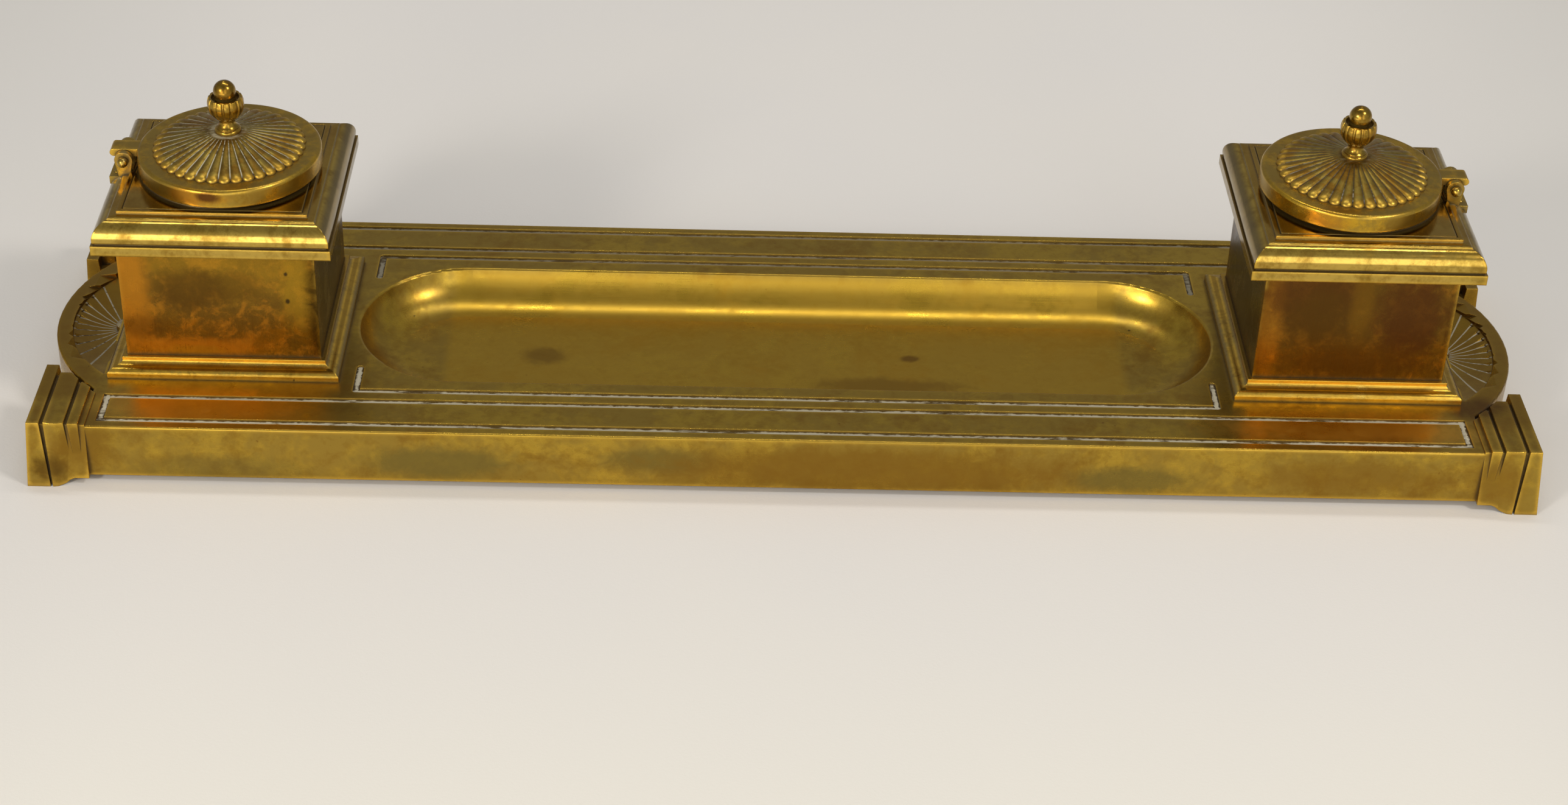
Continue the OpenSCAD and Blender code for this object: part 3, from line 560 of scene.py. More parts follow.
def add_dried_polish(tree, place, residue_at, cover, tone, layers):
    """Cover colour, metal, roughness and height with a dark bed and dried polish."""
    colour, metal, rough, height = layers
    where, bed = residue_at(tree, place)
    dried = use(tree, RESIDUE, Place=place, Where=where, Cover=cover)
    colour = tint(tree, product(tree, bed, BED_STRENGTH), colour, DIRT)
    colour = tint(tree, dried["Mask"], colour, tone)
    covered = maths(tree, "MAXIMUM", dried["Mask"], product(tree, bed, BED_NOT_METAL))
    metal = product(tree, metal, opposite(tree, covered))
    rough = maths(tree, "MAXIMUM", rough, product(tree, dried["Mask"], DRIED_ROUGHNESS))
    height = maths(tree, "MULTIPLY_ADD", dried["Height"], DRIED_HEIGHT, height)
    return colour, metal, rough, height


print("steps that change the roughness:", dict(ROUGHER_BY))

# %% [markdown]
# ## Aged brass: the material
# Brass pieces differ only in how much of each layer they show. Each could get a tree of
# its own, but one function with plain numbers does it for all, and its defaults describe
# an ordinary piece. A bevel in the shader softens sharp edges, as on a cast and rubbed
# edge, and leaves the piece's mesh alone.

# %% Aged brass: the material
LENGTHWISE = (0.04, 1.0, 1.0)  # which way the hairlines are drawn out
UPRIGHT = (1.0, 1.0, 0.05)
EVEN = (0.5, 0.5, 0.5)
DIRT_NOT_METAL = 0.6
PIT_DEPTH = -3.0
RELIEF_DEPTH = 0.02
BEVEL_RAYS = 4


def aged_brass(name, fresh, film, stain, film_share, stain_share, polish,
               cloud_size=22, draw=LENGTHWISE, edge_wear=0.8, dirt=0.85,
               mottling=0.35, freckling=0.6, marks=None,
               residue_at=None, residue_cover=0.6, residue_colour=CREAM, relief=0.3,
               soft_edge=0.25):
    """Brass of three colours: fresh metal, the film on it, and stains. Lengths are in mm."""
    material, tree, skin = new_material(name)
    place = rest_place(tree)
    grain = use(tree, RUBBED_GRAIN, Place=place, Draw=draw)
    masks = brass_masks(tree, place, cloud_size, film_share, stain_share, edge_wear, dirt)
    masks["grain"] = grain["Haze"]

    colour = brass_colour(tree, place, masks, fresh, film, stain, mottling, freckling, marks)
    unclean = product(tree, masks["dirty"], DIRT_NOT_METAL)
    metal = maths(tree, "SUBTRACT", 1, unclean, clamp=True)
    rough = brass_roughness(tree, masks, polish)
    height = maths(tree, "MULTIPLY_ADD", masks["spots"], PIT_DEPTH, grain["Height"])
    layers = (colour, metal, rough, height)
    if residue_at is not None:
        layers = add_dried_polish(tree, place, residue_at, residue_cover, residue_colour, layers)
    colour, metal, rough, height = layers

    feed(tree, skin, Base_Color=colour, Metallic=metal, Roughness=rough)
    bevel = feed(tree, node(tree, "Bevel", samples=BEVEL_RAYS), Radius=soft_edge * MM)
    add_relief(tree, skin, height, relief, RELIEF_DEPTH, bevel[0])
    return material


def paint(material, *names):
    """Give carried-over pieces a material."""
    for name in names:
        for held in nodes[name].material_slots:
            held.material = material
    print(material.name, "->", len(names), "pieces")


print("hairlines run", LENGTHWISE, UPRIGHT, "or", EVEN)

# %% [markdown]
# ## Tray: polish in the lines
# Fine lines are cut into the tray's top, and white polish sits in them. They could be
# picked out by how closed in they are, but so is every other corner. A line is found more
# surely by its floor, half a millimetre below the top, and by its distance from the middle
# of the tray. The polish keeps to the middle of a line and is ragged at its edges.

# %% Tray: polish in the lines
TRAY_TOP = 17.5
TRAY_FRONT = -54
LINE_FLOOR = 17.0
LINE_X = (116.2, 181.7)
LINE_Y = (34.3, 39.2, 50.0)
LINE_HALF_WIDTH = (0.75, 0.45)
LINE_FACING, LINE_LEVEL = (0.8, 0.95), (0.25, 0.1)
FAN_ZONE_X, FAN_ZONE_Y = (182.7, 183), (48, 46)
RAGGED_SIZE, RAGGED_BY = 1.6, 1.6
LEAST_POLISH, MORE_OUTSIDE, MORE_IN_FRONT = 0.42, 0.2, 0.35
TOWARDS_ENDS, TOWARDS_FRONT = (60, 170), (10, -30)


def off_lines(tree, across, places):
    """How far a point lies from the nearest of some lines, given by their place."""
    offs = [maths(tree, "ABSOLUTE", maths(tree, "SUBTRACT", across, place)) for place in places]
    nearest = offs[0]
    for off in offs[1:]:
        nearest = maths(tree, "MINIMUM", nearest, off)
    return nearest


def line_polish(tree, place, up):
    """Dried polish in the lines, and the dark floor of the lines."""
    x, y, z = parts_of(tree, place)
    wide = maths(tree, "ABSOLUTE", x)
    deep = maths(tree, "ABSOLUTE", y)
    level = maths(tree, "ABSOLUTE", maths(tree, "SUBTRACT", z, LINE_FLOOR))
    fan_zone = product(tree, fade(tree, wide, *FAN_ZONE_X), fade(tree, deep, *FAN_ZONE_Y))
    floor = product(tree, fade(tree, up, *LINE_FACING), fade(tree, level, *LINE_LEVEL),
                    opposite(tree, fan_zone))
    noise = maths(tree, "SUBTRACT", cloud(tree, place, RAGGED_SIZE, detail=3, roughness=0.6), 0.5)
    off = maths(tree, "MINIMUM", off_lines(tree, wide, LINE_X), off_lines(tree, deep, LINE_Y))
    ragged = maths(tree, "ADD", off, product(tree, noise, RAGGED_BY))
    middle = fade(tree, ragged, *LINE_HALF_WIDTH)
    outer = fade(tree, wide, *TOWARDS_ENDS)
    front = fade(tree, y, *TOWARDS_FRONT)
    amount = maths(tree, "MULTIPLY_ADD", outer, MORE_OUTSIDE, LEAST_POLISH)
    amount = maths(tree, "MULTIPLY_ADD", front, MORE_IN_FRONT, amount)
    return product(tree, floor, middle, amount), floor


print("lines at", LINE_X, "mm across and", LINE_Y, "mm deep")

# %% [markdown]
# ## Tray: polish in the fans
# Each end of the tray carries a fan of petals in low relief, and the polish has stayed in
# the valleys between them. A valley could be found by its depth, but the relief is too low
# for that. It is found by its angle round the fan's hub, which repeats at even steps.

# %% Tray: polish in the fans
FAN_HUB = 184.5
FAN_PETALS = 13
FAN_OUT, FAN_FACING = (0.0, 0.2), (0.2, 0.4)
FAN_LOW, FAN_HIGH = (12.9, 13.1), (16.9, 16.7)
FAN_VALLEYS = (0.007, 0.04, 0.16)  # widening, least width and softness
FAN_STRENGTH = 0.75


def spoke_distance(tree, across, along, petals):
    """Millimetres to the nearest valley between two petals, and from the hub."""
    angle = maths(tree, "ARCTAN2", across, along)
    turns = maths(tree, "MULTIPLY", angle, petals / (2 * math.pi))
    off = maths(tree, "ABSOLUTE", maths(tree, "SUBTRACT", maths(tree, "FRACT", turns), 0.5))
    squares = maths(tree, "MULTIPLY_ADD", across, across, product(tree, along, along))
    radius = maths(tree, "SQRT", squares)
    return product(tree, off, radius, 2 * math.pi / petals), radius


def valley_polish(tree, valley, reach, widening, least, softness):
    """A line along each valley, which grows wider away from the hub."""
    width = maths(tree, "MULTIPLY_ADD", reach, widening, least)
    return fade(tree, valley, maths(tree, "ADD", width, softness), width)


def fan_polish(tree, place, up):
    """Dried polish between the petals of both end fans."""
    x, y, z = parts_of(tree, place)
    out = maths(tree, "SUBTRACT", maths(tree, "ABSOLUTE", x), FAN_HUB)
    valley, reach = spoke_distance(tree, y, out, 2 * FAN_PETALS)
    in_fan = product(tree, fade(tree, out, *FAN_OUT), fade(tree, z, *FAN_HIGH),
                     fade(tree, z, *FAN_LOW), fade(tree, up, *FAN_FACING))
    return product(tree, valley_polish(tree, valley, reach, *FAN_VALLEYS), in_fan)


def tray_residue(tree, place):
    """Where polish has dried on the tray, and the dark bed that it lies in."""
    up = facing(tree)[2]
    lines, bed = line_polish(tree, place, up)
    spokes = fan_polish(tree, place, up)
    dried = maths(tree, "MAXIMUM", lines, product(tree, spokes, FAN_STRENGTH))
    return dried, maths(tree, "MAXIMUM", bed, spokes)


print("a fan has", FAN_PETALS, "petals round a hub", FAN_HUB, "mm from the middle")

# %% [markdown]
# ## Tray: stains and finish
# The casting is one piece: top, skirt, corner blocks, fans and pen recess. The recess has
# stayed golden, the ends have gone brown, and a few blooms lie in front of the wells and
# along the skirt. Noise could imitate them, but never in the right place. So each has its
# own row in a list: its colour, centre, reach and strength.

# %% Tray: stains and finish
RECESS_X, RECESS_Y, RECESS_Z = (97, 93), (29, 28), (17.4, 16.6)
END_X, END_Y, END_Z = (182, 190), (46, 40), (12.0, 13.0)
RECESS_STRENGTH, END_STRENGTH = 0.45, 0.7
TRAY_BLOOMS = (
    (BROWN, (28, -14, 9), (24, 5, 3), 0.7),
    (PLUM, (-68, -2, 9), (7, 5, 3), 0.45),
    (PLUM, (35, 0, 9), (3, 2, 3), 0.6),
    (PLUM, (187, -33, TRAY_TOP), (9, 7, 4), 0.7),
    (AMBER, (150, -43, TRAY_TOP), (40, 9, 3), 0.7),
    (AMBER, (-158, -43, TRAY_TOP), (32, 9, 3), 0.5),
    (MOSS, (-150, TRAY_FRONT, 5), (26, 4, 5), 0.5),
    (MOSS, (-92, TRAY_FRONT, 8), (24, 4, 6), 0.8),
    (MOSS, (-34, TRAY_FRONT, 10), (18, 4, 5), 0.8),
    (BROWN, (20, TRAY_FRONT, 8), (70, 4, 9), 0.8),
    (MOSS, (92, TRAY_FRONT, 7), (20, 4, 5), 0.8),
    (BROWN, (150, TRAY_FRONT, 9), (30, 4, 6), 0.6),
    (UMBER, (-195, -57, 6), (6, 5, 5), 0.8),
    (BROWN, (-186, -52, 12), (10, 10, 9), 0.8),
    (BROWN, (190, -52, 9), (10, 10, 9), 0.7),
    (BROWN, (-192, 48, 12), (10, 10, 9), 0.8),
    (BROWN, (192, 48, 12), (10, 10, 9), 0.8),
)


def zone(tree, place, wide, deep, high):
    """A mask for a block of space on both sides of the middle, with soft limits."""
    x, y, z = parts_of(tree, place)
    return product(tree, fade(tree, maths(tree, "ABSOLUTE", x), *wide),
                   fade(tree, maths(tree, "ABSOLUTE", y), *deep), fade(tree, z, *high))


def tray_marks(tree, place, colour):
    """The recess is more golden and the ends are browner than the rest of the tray."""
    inside = zone(tree, place, RECESS_X, RECESS_Y, RECESS_Z)
    colour = tint(tree, product(tree, inside, RECESS_STRENGTH), colour, GOLD)
    ends = zone(tree, place, END_X, END_Y, END_Z)
    colour = tint(tree, product(tree, ends, END_STRENGTH), colour, BROWN)
    return lay_blooms(tree, place, colour, TRAY_BLOOMS)


tray_brass = aged_brass("tray_brass", HONEY, OLIVE, BROWN, film_share=0.55, stain_share=0.30,
                        polish=0.26, cloud_size=26, marks=tray_marks, residue_at=tray_residue,
                        residue_cover=0.85, relief=0.15)
paint(tray_brass, "base_tray")

# %% [markdown]
# ## Well walls
# The walls are thin sheet that nobody polished: chestnut brown, with copper patches and
# dark blooms. Painted shade makes a wall nearly black where it faces the pen recess, and a
# copper band along the foot of the left wall is a painted reflection of the plinth. Dents
# could be modelled, but the real sheet is flat, so all its life is in the finish, with
# upright hairlines and more mottling and freckles than on the castings.

# %% Well walls
WALL_FRONT = -27
DOT_X, DOT_HEIGHTS = -134, (58, 48.5, 40)
DOT_REACH, DOT_STRENGTH, DOT_RAGGED = (0.7, 2, 0.9), 0.9, 1.2
WALL_BLOOMS_AND_PAINTED_LIGHT = (
    (TAWNY, (-150, WALL_FRONT, 50), (26, 4, 12), 0.45),
    (COPPER, (-176, WALL_FRONT, 42), (7, 4, 26), 0.8),
    (UMBER, (-160, WALL_FRONT, 43), (12, 4, 8), 0.75),
    (UMBER, (-148, WALL_FRONT, 44), (10, 4, 6), 0.5),
    (UMBER, (-172, WALL_FRONT, 31), (9, 4, 4), 0.5),
    # painted reflection of the plinth top: a copper band along the foot of the left wall, in this row
    # and the next
    (COPPER, (-160, WALL_FRONT, 25), (22, 4, 3.5), 0.8),
    (TAWNY, (-160, WALL_FRONT, 24), (10, 4, 2), 0.5),
    (TAWNY, (-131, WALL_FRONT, 45), (6, 4, 18), 0.7),
    # painted shade: the wall sides that face the pen recess are painted nearly black
    (PAINTED_SHADE_BLACK, (-126, 0, 42), (5, 40, 40), 0.95),
    (PAINTED_SHADE_BLACK, (126, 0, 42), (5, 40, 40), 0.95),
    (UMBER, (152, WALL_FRONT, 42), (36, 4, 26), 0.6),
    (COPPER, (129, WALL_FRONT, 40), (4, 4, 26), 0.45),
    (PLUM, (139, WALL_FRONT, 49), (17, 4, 13), 0.75),
    (UMBER, (142, WALL_FRONT, 42), (12, 4, 12), 0.8),
    (CHESTNUT, (153, WALL_FRONT, 46), (4, 4, 14), 0.6),
    (PLUM, (167, WALL_FRONT, 43), (12, 4, 16), 0.8),
    (UMBER, (152, WALL_FRONT, 27), (26, 4, 6), 0.8),
)


def on_both_sides(*names):
    return [side + "_" + name for side in ("left", "right") for name in names]


def wall_marks_and_painted_light(tree, place, colour):
    """The blooms on the walls, with painted shade and a painted reflection among them, and three
    small dark spots on the left one.
    """
    colour = lay_blooms(tree, place, colour, WALL_BLOOMS_AND_PAINTED_LIGHT)
    for height in DOT_HEIGHTS:
        centre = (DOT_X, WALL_FRONT + 1, height)
        colour = bloom(tree, place, colour, DIRT, centre, DOT_REACH, DOT_STRENGTH, DOT_RAGGED)
    return colour


wall_brass = aged_brass("wall_brass", CHESTNUT, UMBER, COPPER, film_share=0.6, stain_share=0.25,
                        polish=0.24, cloud_size=15, draw=UPRIGHT, mottling=0.6, freckling=0.9,
                        marks=wall_marks_and_painted_light)
paint(wall_brass, *on_both_sides("well_body"))

# %% [markdown]
# ## Well mouldings
# The mouldings stand proud: their fronts are the brightest metal of all. More light would
# brighten all the rest too, so painted shade darkens the tops and sides instead, to brown
# and smoke, chosen by which way the surface faces. Wide soft edges let the light run round
# the beads, and polish has run down beside the hinges.

# %% Well mouldings
SHADED_TOP_FADE, SHADED_TOP_STRENGTH = (0.93, 0.99), 0.6
SHADED_SIDE_FADE, SHADED_SIDE_STRENGTH = (0.3, 0.7), 0.75
RUN_CENTRE, RUN_REACH, RUN_STRENGTH = (181, 0, 61), (5, 9, 7), 0.8


def hinge_residue(tree, place):
    """Polish that ran down beside both hinges and dried, without a dark bed."""
    x, y, z = parts_of(tree, place)
    folded = combined(tree, maths(tree, "ABSOLUTE", x), y, z)
    near = use(tree, BLOTCH, Place=folded, Centre=RUN_CENTRE, Reach=RUN_REACH)[0]
    return product(tree, near, RUN_STRENGTH), 0.0


def moulding_facing_shade(tree, place, colour):
    """Painted shade: faces turned up are tinted brown and faces turned sideways smoky, so that the
    fronts stay the brightest.
    """
    sideways, _, up = facing(tree)
    # painted shade on faces turned up, then on faces turned sideways
    top = product(tree, fade(tree, up, *SHADED_TOP_FADE), SHADED_TOP_STRENGTH)
    colour = tint(tree, top, colour, BROWN)
    side = product(tree, fade(tree, maths(tree, "ABSOLUTE", sideways), *SHADED_SIDE_FADE), SHADED_SIDE_STRENGTH)
    return tint(tree, side, colour, SMOKE)


moulded_brass = aged_brass("moulded_brass", BRONZE, OLIVE, BROWN, film_share=0.40,
                           stain_share=0.30, polish=0.13, cloud_size=12, edge_wear=0.6,
                           marks=moulding_facing_shade, residue_at=hinge_residue, residue_cover=0.8,
                           soft_edge=0.6)
paint(moulded_brass, *on_both_sides("well_cornice"))

# painted highlight: the plinths get brighter, less filmed metal than the cornices, standing in for
# the light that their profile catches
plinth_brass_painted_bright = aged_brass("plinth_brass_painted_bright", BRIGHT, BRONZE, BROWN, film_share=0.35,
                          stain_share=0.25, polish=0.20, cloud_size=10, marks=moulding_facing_shade,
                          soft_edge=0.5)
paint(plinth_brass_painted_bright, *on_both_sides("well_plinth"))

# %% [markdown]
# ## Lid discs
# A lid is a turned disc, rubbed by fingers each time it was opened, with a copper-red
# patch on the rim. Its hairlines could run in rings, but wiping has crossed them, so they
# have no one direction. The nuts and floor plates are as plain and share this metal.

# %% Lid discs
LID_BLOOMS = (
    (COPPER, (-158, -23, 70), (12, 4, 2.5), 0.6),
    (PLUM, (-153, -24.5, 70.5), (4, 3, 2), 0.9),
    (COPPER, (140, -22, 70), (9, 5, 3), 0.5),
)


def lid_marks(tree, place, colour):
    return lay_blooms(tree, place, colour, LID_BLOOMS)


lid_brass = aged_brass("lid_brass", GOLD, OLIVE, BROWN, film_share=0.6, stain_share=0.2,
                       polish=0.24, cloud_size=14, draw=EVEN, marks=lid_marks)
paint(lid_brass, *on_both_sides("lid_disc", "finial_nut", "well_floor"))

# %% [markdown]
# ## Finials and hinges
# The acorn finials are dark and glossy, and the hinges dull, with dirt in every corner.
# Both are so small that the rays into the metal find an edge nearly everywhere. Full edge
# wear would turn them to gold, so they get little of it.

# %% Finials and hinges
finial_brass = aged_brass("finial_brass", OLIVE, BROWN, UMBER, film_share=0.5, stain_share=0.2,
                          polish=0.17, cloud_size=6, draw=EVEN, edge_wear=0.25, dirt=0.5)
paint(finial_brass, *on_both_sides("lid_finial"))

hinge_brass = aged_brass("hinge_brass", OLIVE, SMOKE, MOSS, film_share=0.5, stain_share=0.3,
                         polish=0.28, cloud_size=5, draw=EVEN, edge_wear=0.3, dirt=0.7)
paint(hinge_brass, *on_both_sides("hinge_bracket", "hinge_pin"), "bracket_rivets")

# %% [markdown]
# ## Rosettes: the form
# Each lid carries a low dome of narrow petals with rounded backs and round ends, like a
# daisy. Cutting it with V-shaped tools would leave roof-shaped petals. Here the softer
# form comes from formulas: at an angle from a petal's middle, one gives the scalloped
# outline, and another the height at each radius.

# %% Rosettes: the form
PETALS = 38
ROSETTE_R = 20.3
ROSETTE_EDGE = 1.0
ROSETTE_HIGH = 4.8
HUB_R = 4.7
TIP_R = ROSETTE_R * math.sin(math.pi / PETALS)
TIP_X = ROSETTE_R - TIP_R
RIM_STEP = 0.3
VALLEY_SINK = 0.3  # depth of a valley, as a share of half a petal's width
VALLEY_RUN = 1.5
LAST_DROP = 1.0


def ease(value, start, end):
    """The soft step of the masks, for plain numbers."""
    t = min(1.0, max(0.0, (value - start) / (end - start)))
    return t * t * (3 - 2 * t)


def rosette_outline(turn):
    """Radius of the scalloped edge at an angle from the middle of a petal."""
    return TIP_X * math.cos(turn) + math.sqrt(TIP_R ** 2 - (TIP_X * math.sin(turn)) ** 2)


def rosette_height(radius, turn):
    """Height above the lid's top at a radius and an angle from the middle of a petal."""
    slope = (ROSETTE_HIGH - ROSETTE_EDGE) / (ROSETTE_R - HUB_R)
    crest = ROSETTE_HIGH - slope * max(0.0, radius - HUB_R)
    if radius <= HUB_R:
        return crest
    off = radius * math.sin(turn)
    if radius < TIP_X:
        half = radius * math.sin(math.pi / PETALS)
        sink = VALLEY_SINK * half * ease(radius, HUB_R, HUB_R + VALLEY_RUN)
        drop = (crest - RIM_STEP - sink) * ease(radius, TIP_X - LAST_DROP, TIP_X)
        share = min(1.0, abs(off) / half)
        return crest - sink * share ** 3 - drop * (1 - math.sqrt(1 - share ** 2))
    beyond = radius * math.cos(turn) - TIP_X
    share = min(1.0, (off ** 2 + beyond ** 2) / TIP_R ** 2)
    return RIM_STEP + (crest - RIM_STEP) * math.sqrt(1 - share)


print("a petal's round end is", round(2 * TIP_R, 1), "mm wide")

# %% [markdown]
# ## Rosettes: the mesh
# This form could be sculpted, but then every petal would differ. So the mesh is one grid
# bent round the axis: every column is a section through the dome, up the bore, over the
# hub and a petal, and down the edge. The columns are the same for each petal, and the
# rings lie closer near the rim.

# %% Rosettes: the mesh
LID_X = 150.8
LID_TOP = 72.3
BORE_R = 1.6
HUB_LAP = 0.6
RINGS = 26
RING_CROWDING = 1.25
COLUMNS_PER_PETAL = 14
PETAL_ANGLE = 2 * math.pi / PETALS
SHARP_FROM = math.radians(50)


def rosette_column(angle, turn):
    """The section at one angle, as a closed loop of points."""
    edge = rosette_outline(turn)
    first = HUB_R - HUB_LAP
    points = [(BORE_R, 0.0), (BORE_R, ROSETTE_HIGH)]
    for k in range(RINGS + 1):
        radius = first + (edge - first) * (1 - (1 - k / RINGS) ** RING_CROWDING)
        points.append((radius, rosette_height(radius, turn)))
    points.append((edge, 0.0))
    return [Vector((r * math.cos(angle), r * math.sin(angle), h)) for r, h in points]


def make_rosette(side, name):
    """A rosette on the left lid, side -1, or on the right one, side 1."""
    centre = Vector((side * LID_X, 0, LID_TOP))
    mesh = bpy.data.meshes.new(name)
    bm = bmesh.new()
    columns = []
    for petal in range(PETALS):
        for k in range(COLUMNS_PER_PETAL):
            turn = (k / COLUMNS_PER_PETAL - 0.5) * PETAL_ANGLE
            points = rosette_column(petal * PETAL_ANGLE + turn, turn)
            columns.append([bm.verts.new((centre + p) * MM) for p in points])
    for here, after in zip(columns, columns[1:] + columns[:1]):
        for k in range(len(here)):
            up = (k + 1) % len(here)
            bm.faces.new((here[k], after[k], after[up], here[up]))
    bmesh.ops.recalc_face_normals(bm, faces=bm.faces)
    bm.to_mesh(mesh)
    bm.free()
    for face in mesh.polygons:
        face.use_smooth = True
    mesh.set_sharp_from_angle(angle=SHARP_FROM)
    return add_object(name, mesh)


print(PETALS * COLUMNS_PER_PETAL, "columns of", RINGS + 4, "points for each rosette")

# %% [markdown]
# ## Rosettes: finish and place
# The petals are khaki brass, with dried polish in their valleys and in a ring round the
# finial, paler on the left lid. The valleys are found by their angle, as on the fans. Each
# rosette rides on its lid's body, so that it swings with the lid, and stands for the
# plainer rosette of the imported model.

# %% Rosettes: finish and place
RING_IN, RING_OUT = (3.4, 3.7), (5.4, 4.4)
VALLEY_FROM, VALLEY_TO = (4.8, 5.6), (19.3, 18.3)
RING_STRENGTH = 0.8
PETAL_VALLEYS = (0.004, 0.02, 0.12)


def petal_residue(side):
    """Dried polish in the valleys between petals, and in a ring round the finial."""
    def where(tree, place):
        x, y, _ = parts_of(tree, place)
        across = maths(tree, "SUBTRACT", x, side * LID_X)
        valley, reach = spoke_distance(tree, y, across, PETALS)
        lines = product(tree, valley_polish(tree, valley, reach, *PETAL_VALLEYS),
                        fade(tree, reach, *VALLEY_FROM), fade(tree, reach, *VALLEY_TO))
        ring = product(tree, fade(tree, reach, *RING_IN), fade(tree, reach, *RING_OUT))
        return maths(tree, "MAXIMUM", lines, product(tree, ring, RING_STRENGTH)), lines
    return where


for side, name, cover, colour in ((-1, "left", 0.80, PALE), (1, "right", 0.40, GREY_CREAM)):
    rosette = make_rosette(side, name + "_rosette")
    fluted_brass = aged_brass(name + "_fluted_brass", KHAKI, BROWN, UMBER, film_share=0.45,
                              stain_share=0.3, polish=0.38, cloud_size=10, draw=EVEN,
                              edge_wear=0.4, residue_at=petal_residue(side),
                              residue_cover=cover, residue_colour=colour)
    rosette.data.materials.append(fluted_brass)
    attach(rosette, name + "_lid")
    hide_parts(name + "_lid_rosette")
    print(rosette.name, len(rosette.data.polygons), "faces")

# %% [markdown]
# ## Ink cups
# The cups inside the wells are clear glass, a little green, and no longer quite clean.
# Glass could be mixed from refraction and gloss. The Principled shader does both once
# light may pass through it, and smears in its roughness and slow waves in its surface
# let it be seen.

# %% Ink cups
GLASS_TINT = (0.90, 0.97, 0.95, 1)
GLASS_IOR = 1.5
SMEAR_SIZE, SMEAR_HAZE, SMEAR_START = 5, 0.16, -0.02
GLASS_WAVE = 7


def clear_glass():
    material, tree, skin = new_material("cup_glass")
    place = rest_place(tree)
    smears = cloud(tree, place, SMEAR_SIZE, detail=4, roughness=0.6)
    haze = maths(tree, "MULTIPLY_ADD", smears, SMEAR_HAZE, SMEAR_START, clamp=True)
    feed(tree, skin, Base_Color=GLASS_TINT, Transmission_Weight=1, IOR=GLASS_IOR, Roughness=haze)
    waves = cloud(tree, place, GLASS_WAVE, detail=1, roughness=0.5)
    add_relief(tree, skin, waves, strength=0.2, depth=0.05)
    return material


paint(clear_glass(), *on_both_sides("ink_liner"))

# %% [markdown]
# ## Screws
# Eight screws of plain steel hold the wells from under the tray, dull and a little rusty.
# They could be left grey, but the groups are there, so rust that is also rougher and less
# of a metal costs only a few nodes.

# %% Screws
STEEL = (0.34, 0.33, 0.31, 1)
STEEL_RUST = (0.16, 0.07, 0.03, 1)
RUST_NOT_METAL = 0.7
STEEL_ROUGHNESS, RUST_ROUGHER_BY = 0.38, 0.35


def dull_steel():
    material, tree, skin = new_material("screw_steel")
    place = rest_place(tree)
    rust = use(tree, TARNISH, Place=place, Cloud=2.5, Share=0.4)[0]
    rough = maths(tree, "MULTIPLY_ADD", rust, RUST_ROUGHER_BY, STEEL_ROUGHNESS)
    colour = tint(tree, rust, STEEL, STEEL_RUST)
    metal = opposite(tree, product(tree, rust, RUST_NOT_METAL))
    feed(tree, skin, Base_Color=colour, Metallic=metal, Roughness=rough)
    grain = use(tree, RUBBED_GRAIN, Place=place, Draw=EVEN)
    add_relief(tree, skin, grain["Height"], strength=0.4, depth=0.03)
    return material


paint(dull_steel(), "well_screws")

# %% [markdown]
# ## Floor
# The inkstand stands on a plain pale floor, which isn't part of it. A pure white one would
# burn out, so it is a soft matt grey, with a painted pool of light that makes it warmer and
# lighter in front, and painted shade that makes it darker at the sides.

# %% Floor
FLOOR_SIZE = 6.0  # metres
FLOOR_WARM, FLOOR_COOL = (0.78, 0.76, 0.73, 1), (0.74, 0.73, 0.73, 1)
FLOOR_FRONT_PAINTED_LIGHT, PAINTED_LIGHT_FADE = (0.84, 0.82, 0.75, 1), (-40, -260)
FLOOR_SIDES_PAINTED_SHADE, PAINTED_SHADE_FADE = (0.66, 0.65, 0.63, 1), (150, 330)
FLOOR_ROUGHNESS = 0.9
FLOOR_CLOUD, FLOOR_GRAIN = 90, 0.8


def pale_floor():
    material, tree, skin = new_material("pale_floor")
    place = rest_place(tree)
    x, y, _ = parts_of(tree, place)
    soft = cloud(tree, place, FLOOR_CLOUD, detail=2, roughness=0.5)
    colour = tint(tree, soft, FLOOR_WARM, FLOOR_COOL)
    # a painted pool of light in front, then painted shade at the sides
    colour = tint(tree, fade(tree, y, *PAINTED_LIGHT_FADE), colour, FLOOR_FRONT_PAINTED_LIGHT)
    sides = fade(tree, maths(tree, "ABSOLUTE", x), *PAINTED_SHADE_FADE)
    colour = tint(tree, sides, colour, FLOOR_SIDES_PAINTED_SHADE)
    feed(tree, skin, Base_Color=colour, Roughness=FLOOR_ROUGHNESS)
    grain = cloud(tree, place, FLOOR_GRAIN, detail=3, roughness=0.6)
    add_relief(tree, skin, grain, strength=0.25, depth=0.15)
    return material


def add_floor():
    mesh = bpy.data.meshes.new("floor")
    half = FLOOR_SIZE / 2
    corners = [(-half, -half, 0), (half, -half, 0), (half, half, 0), (-half, half, 0)]
    mesh.from_pydata(corners, [], [(0, 1, 2, 3)])
    mesh.materials.append(pale_floor())
    floor = add_object("floor", mesh)


add_floor()
print("floor", FLOOR_SIZE, "m wide")

# %% [markdown]
# ## What the brass reflects
# Brass shows little but what it reflects, so what stands round it matters more than the
# lamps. A picture of a studio could be wrapped round the scene, but its lights would never
# be where they are wanted. Here the world is dim, with a soft glow in front, weaker in the
# middle, so that the recess stays calm. A bright strip low at the front left draws the
# broad lights along the mouldings, and a tall window widens them on the right-hand well.

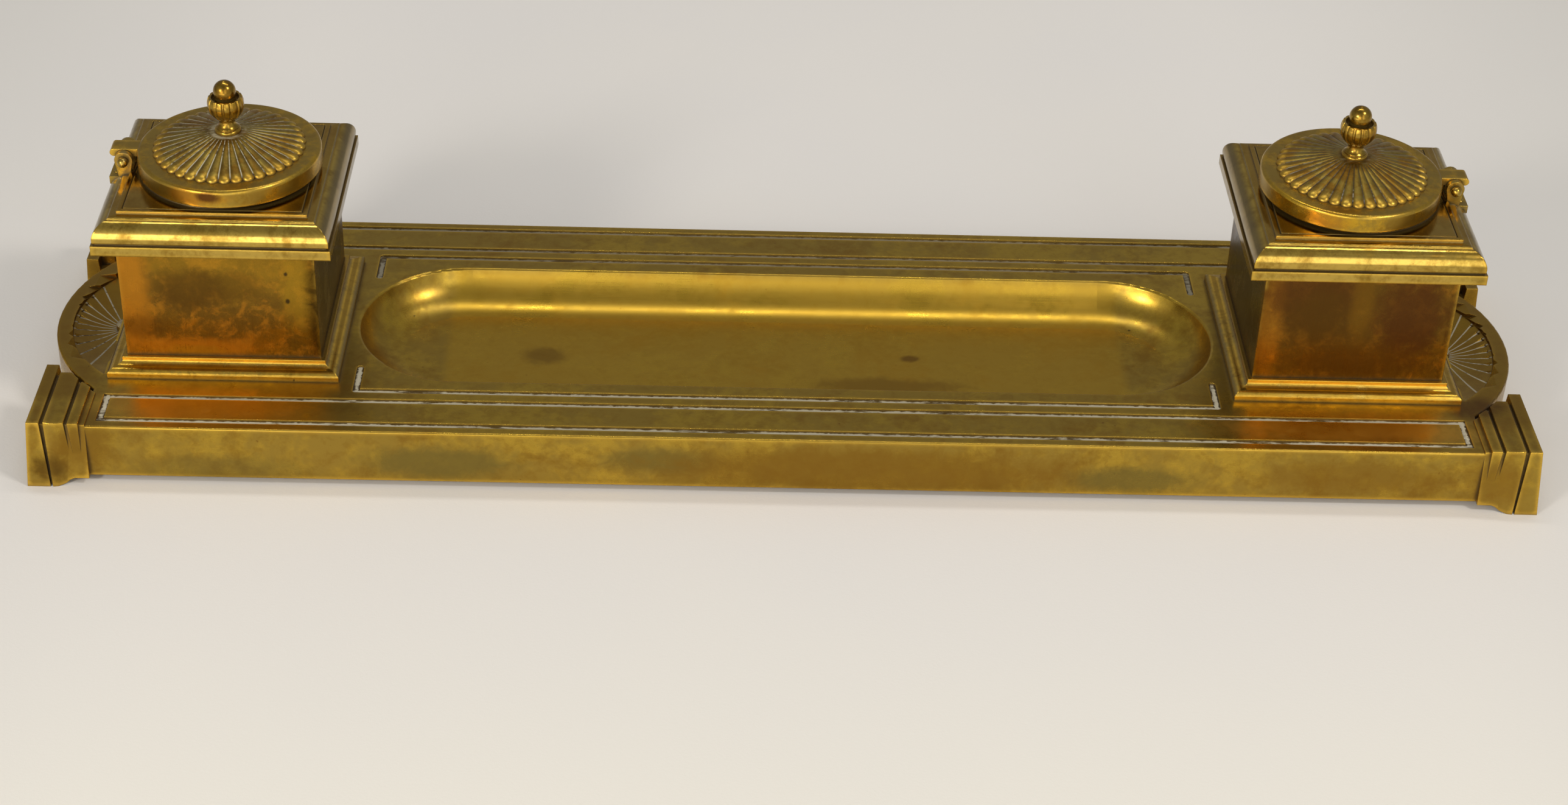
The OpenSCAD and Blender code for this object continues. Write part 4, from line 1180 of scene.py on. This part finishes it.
# %% What the brass reflects
DIM = (0.30, 0.295, 0.285, 1)
GLOW = (0.76, 0.75, 0.72, 1)
SHINE = (3.6, 3.5, 3.3, 1)
GLOW_IN_MIDDLE, GLOW_ASIDE = 0.40, (0.04, 0.20)
GLOW_FRONT, GLOW_TOP = (0.1, -0.75), (0.95, 0.35)
STRIP = {"inner": (-0.09, -0.15), "outer": (-0.62, -0.50), "front": (-0.5, -0.7), "top": (0.42, 0.34)}
WINDOW = {"inner": (0.10, 0.16), "outer": (0.46, 0.40), "front": (-0.1, -0.3), "top": (0.66, 0.56)}
WINDOW_STRENGTH = 0.55


def bright_panel(tree, direction, inner, outer, front, top):
    """A mask for a rectangle of sky, from where each of its sides fades in."""
    x, y, z = direction
    return product(tree, fade(tree, x, *inner), fade(tree, x, *outer), fade(tree, y, *front),
                   fade(tree, z, *top))


def add_world():
    world = bpy.data.worlds.new("surroundings")
    bpy.context.scene.world = world
    world.use_nodes = True
    tree = world.node_tree
    direction = parts_of(tree, node(tree, "TexCoord").outputs["Generated"])
    x, y, z = direction
    aside = fade(tree, maths(tree, "ABSOLUTE", x), *GLOW_ASIDE)
    beside = maths(tree, "MULTIPLY_ADD", aside, 1 - GLOW_IN_MIDDLE, GLOW_IN_MIDDLE)
    glow = product(tree, fade(tree, y, *GLOW_FRONT), fade(tree, z, *GLOW_TOP), beside)
    colour = tint(tree, glow, DIM, GLOW)
    strip = bright_panel(tree, direction, **STRIP)
    window = product(tree, bright_panel(tree, direction, **WINDOW), WINDOW_STRENGTH)
    colour = tint(tree, maths(tree, "MAXIMUM", strip, window), colour, SHINE)
    feed(tree, tree.nodes["Background"], Color=colour)


add_world()
print("strip reaches up to", STRIP["top"][0], "and the window to", WINDOW["top"][0])

# %% [markdown]
# ## Lamps
# A single large lamp would light the shapes, but leave the metal flat. Four smaller ones
# each have a task. A long one behind and above draws the thin bright line along the back
# of the pen recess. Two at the front left and right make the glints. A glowing card lies
# on the table at the front left and lights the lower edges of the mouldings. The camera
# sees none of them.

# %% Lamps
LAMPS = (
    # name, place, size in metres, power in watts, colour
    ("overhead", (0.05, 0.36, 1.45), (1.1, 0.045), 4.0, (1.0, 0.97, 0.92)),
    ("left_lamp", (-0.80, -0.92, 0.62), (0.24, 0.24), 6.0, (1.0, 0.93, 0.84)),
    ("right_lamp", (0.76, -0.50, 1.10), (0.24, 0.24), 5.5, (1.0, 0.93, 0.84)),
    ("left_card", (-0.32, -0.65, 0.003), (0.46, 0.70), 3.2, (1.0, 0.98, 0.94)),
)
AIMS = {"left_card": Vector((0, 0, 1))}


def add_lamp(name, place, size, power, colour):
    """A rectangular lamp that faces the middle of the tray, unless it has its own aim."""
    lamp = bpy.data.lights.new(name, "AREA")
    lamp.shape = "RECTANGLE"
    lamp.size, lamp.size_y = size
    lamp.energy = power
    lamp.color = colour
    made = add_object(name, lamp)
    made.location = place
    aim = AIMS.get(name, -Vector(place))
    made.rotation_euler = aim.to_track_quat("-Z", "Y").to_euler()
    made.visible_camera = False


for lamp_settings in LAMPS:
    add_lamp(*lamp_settings)
bpy.context.scene.view_settings.view_transform = "Standard"
print(len(LAMPS), "lamps,", sum(row[3] for row in LAMPS), "W in all")
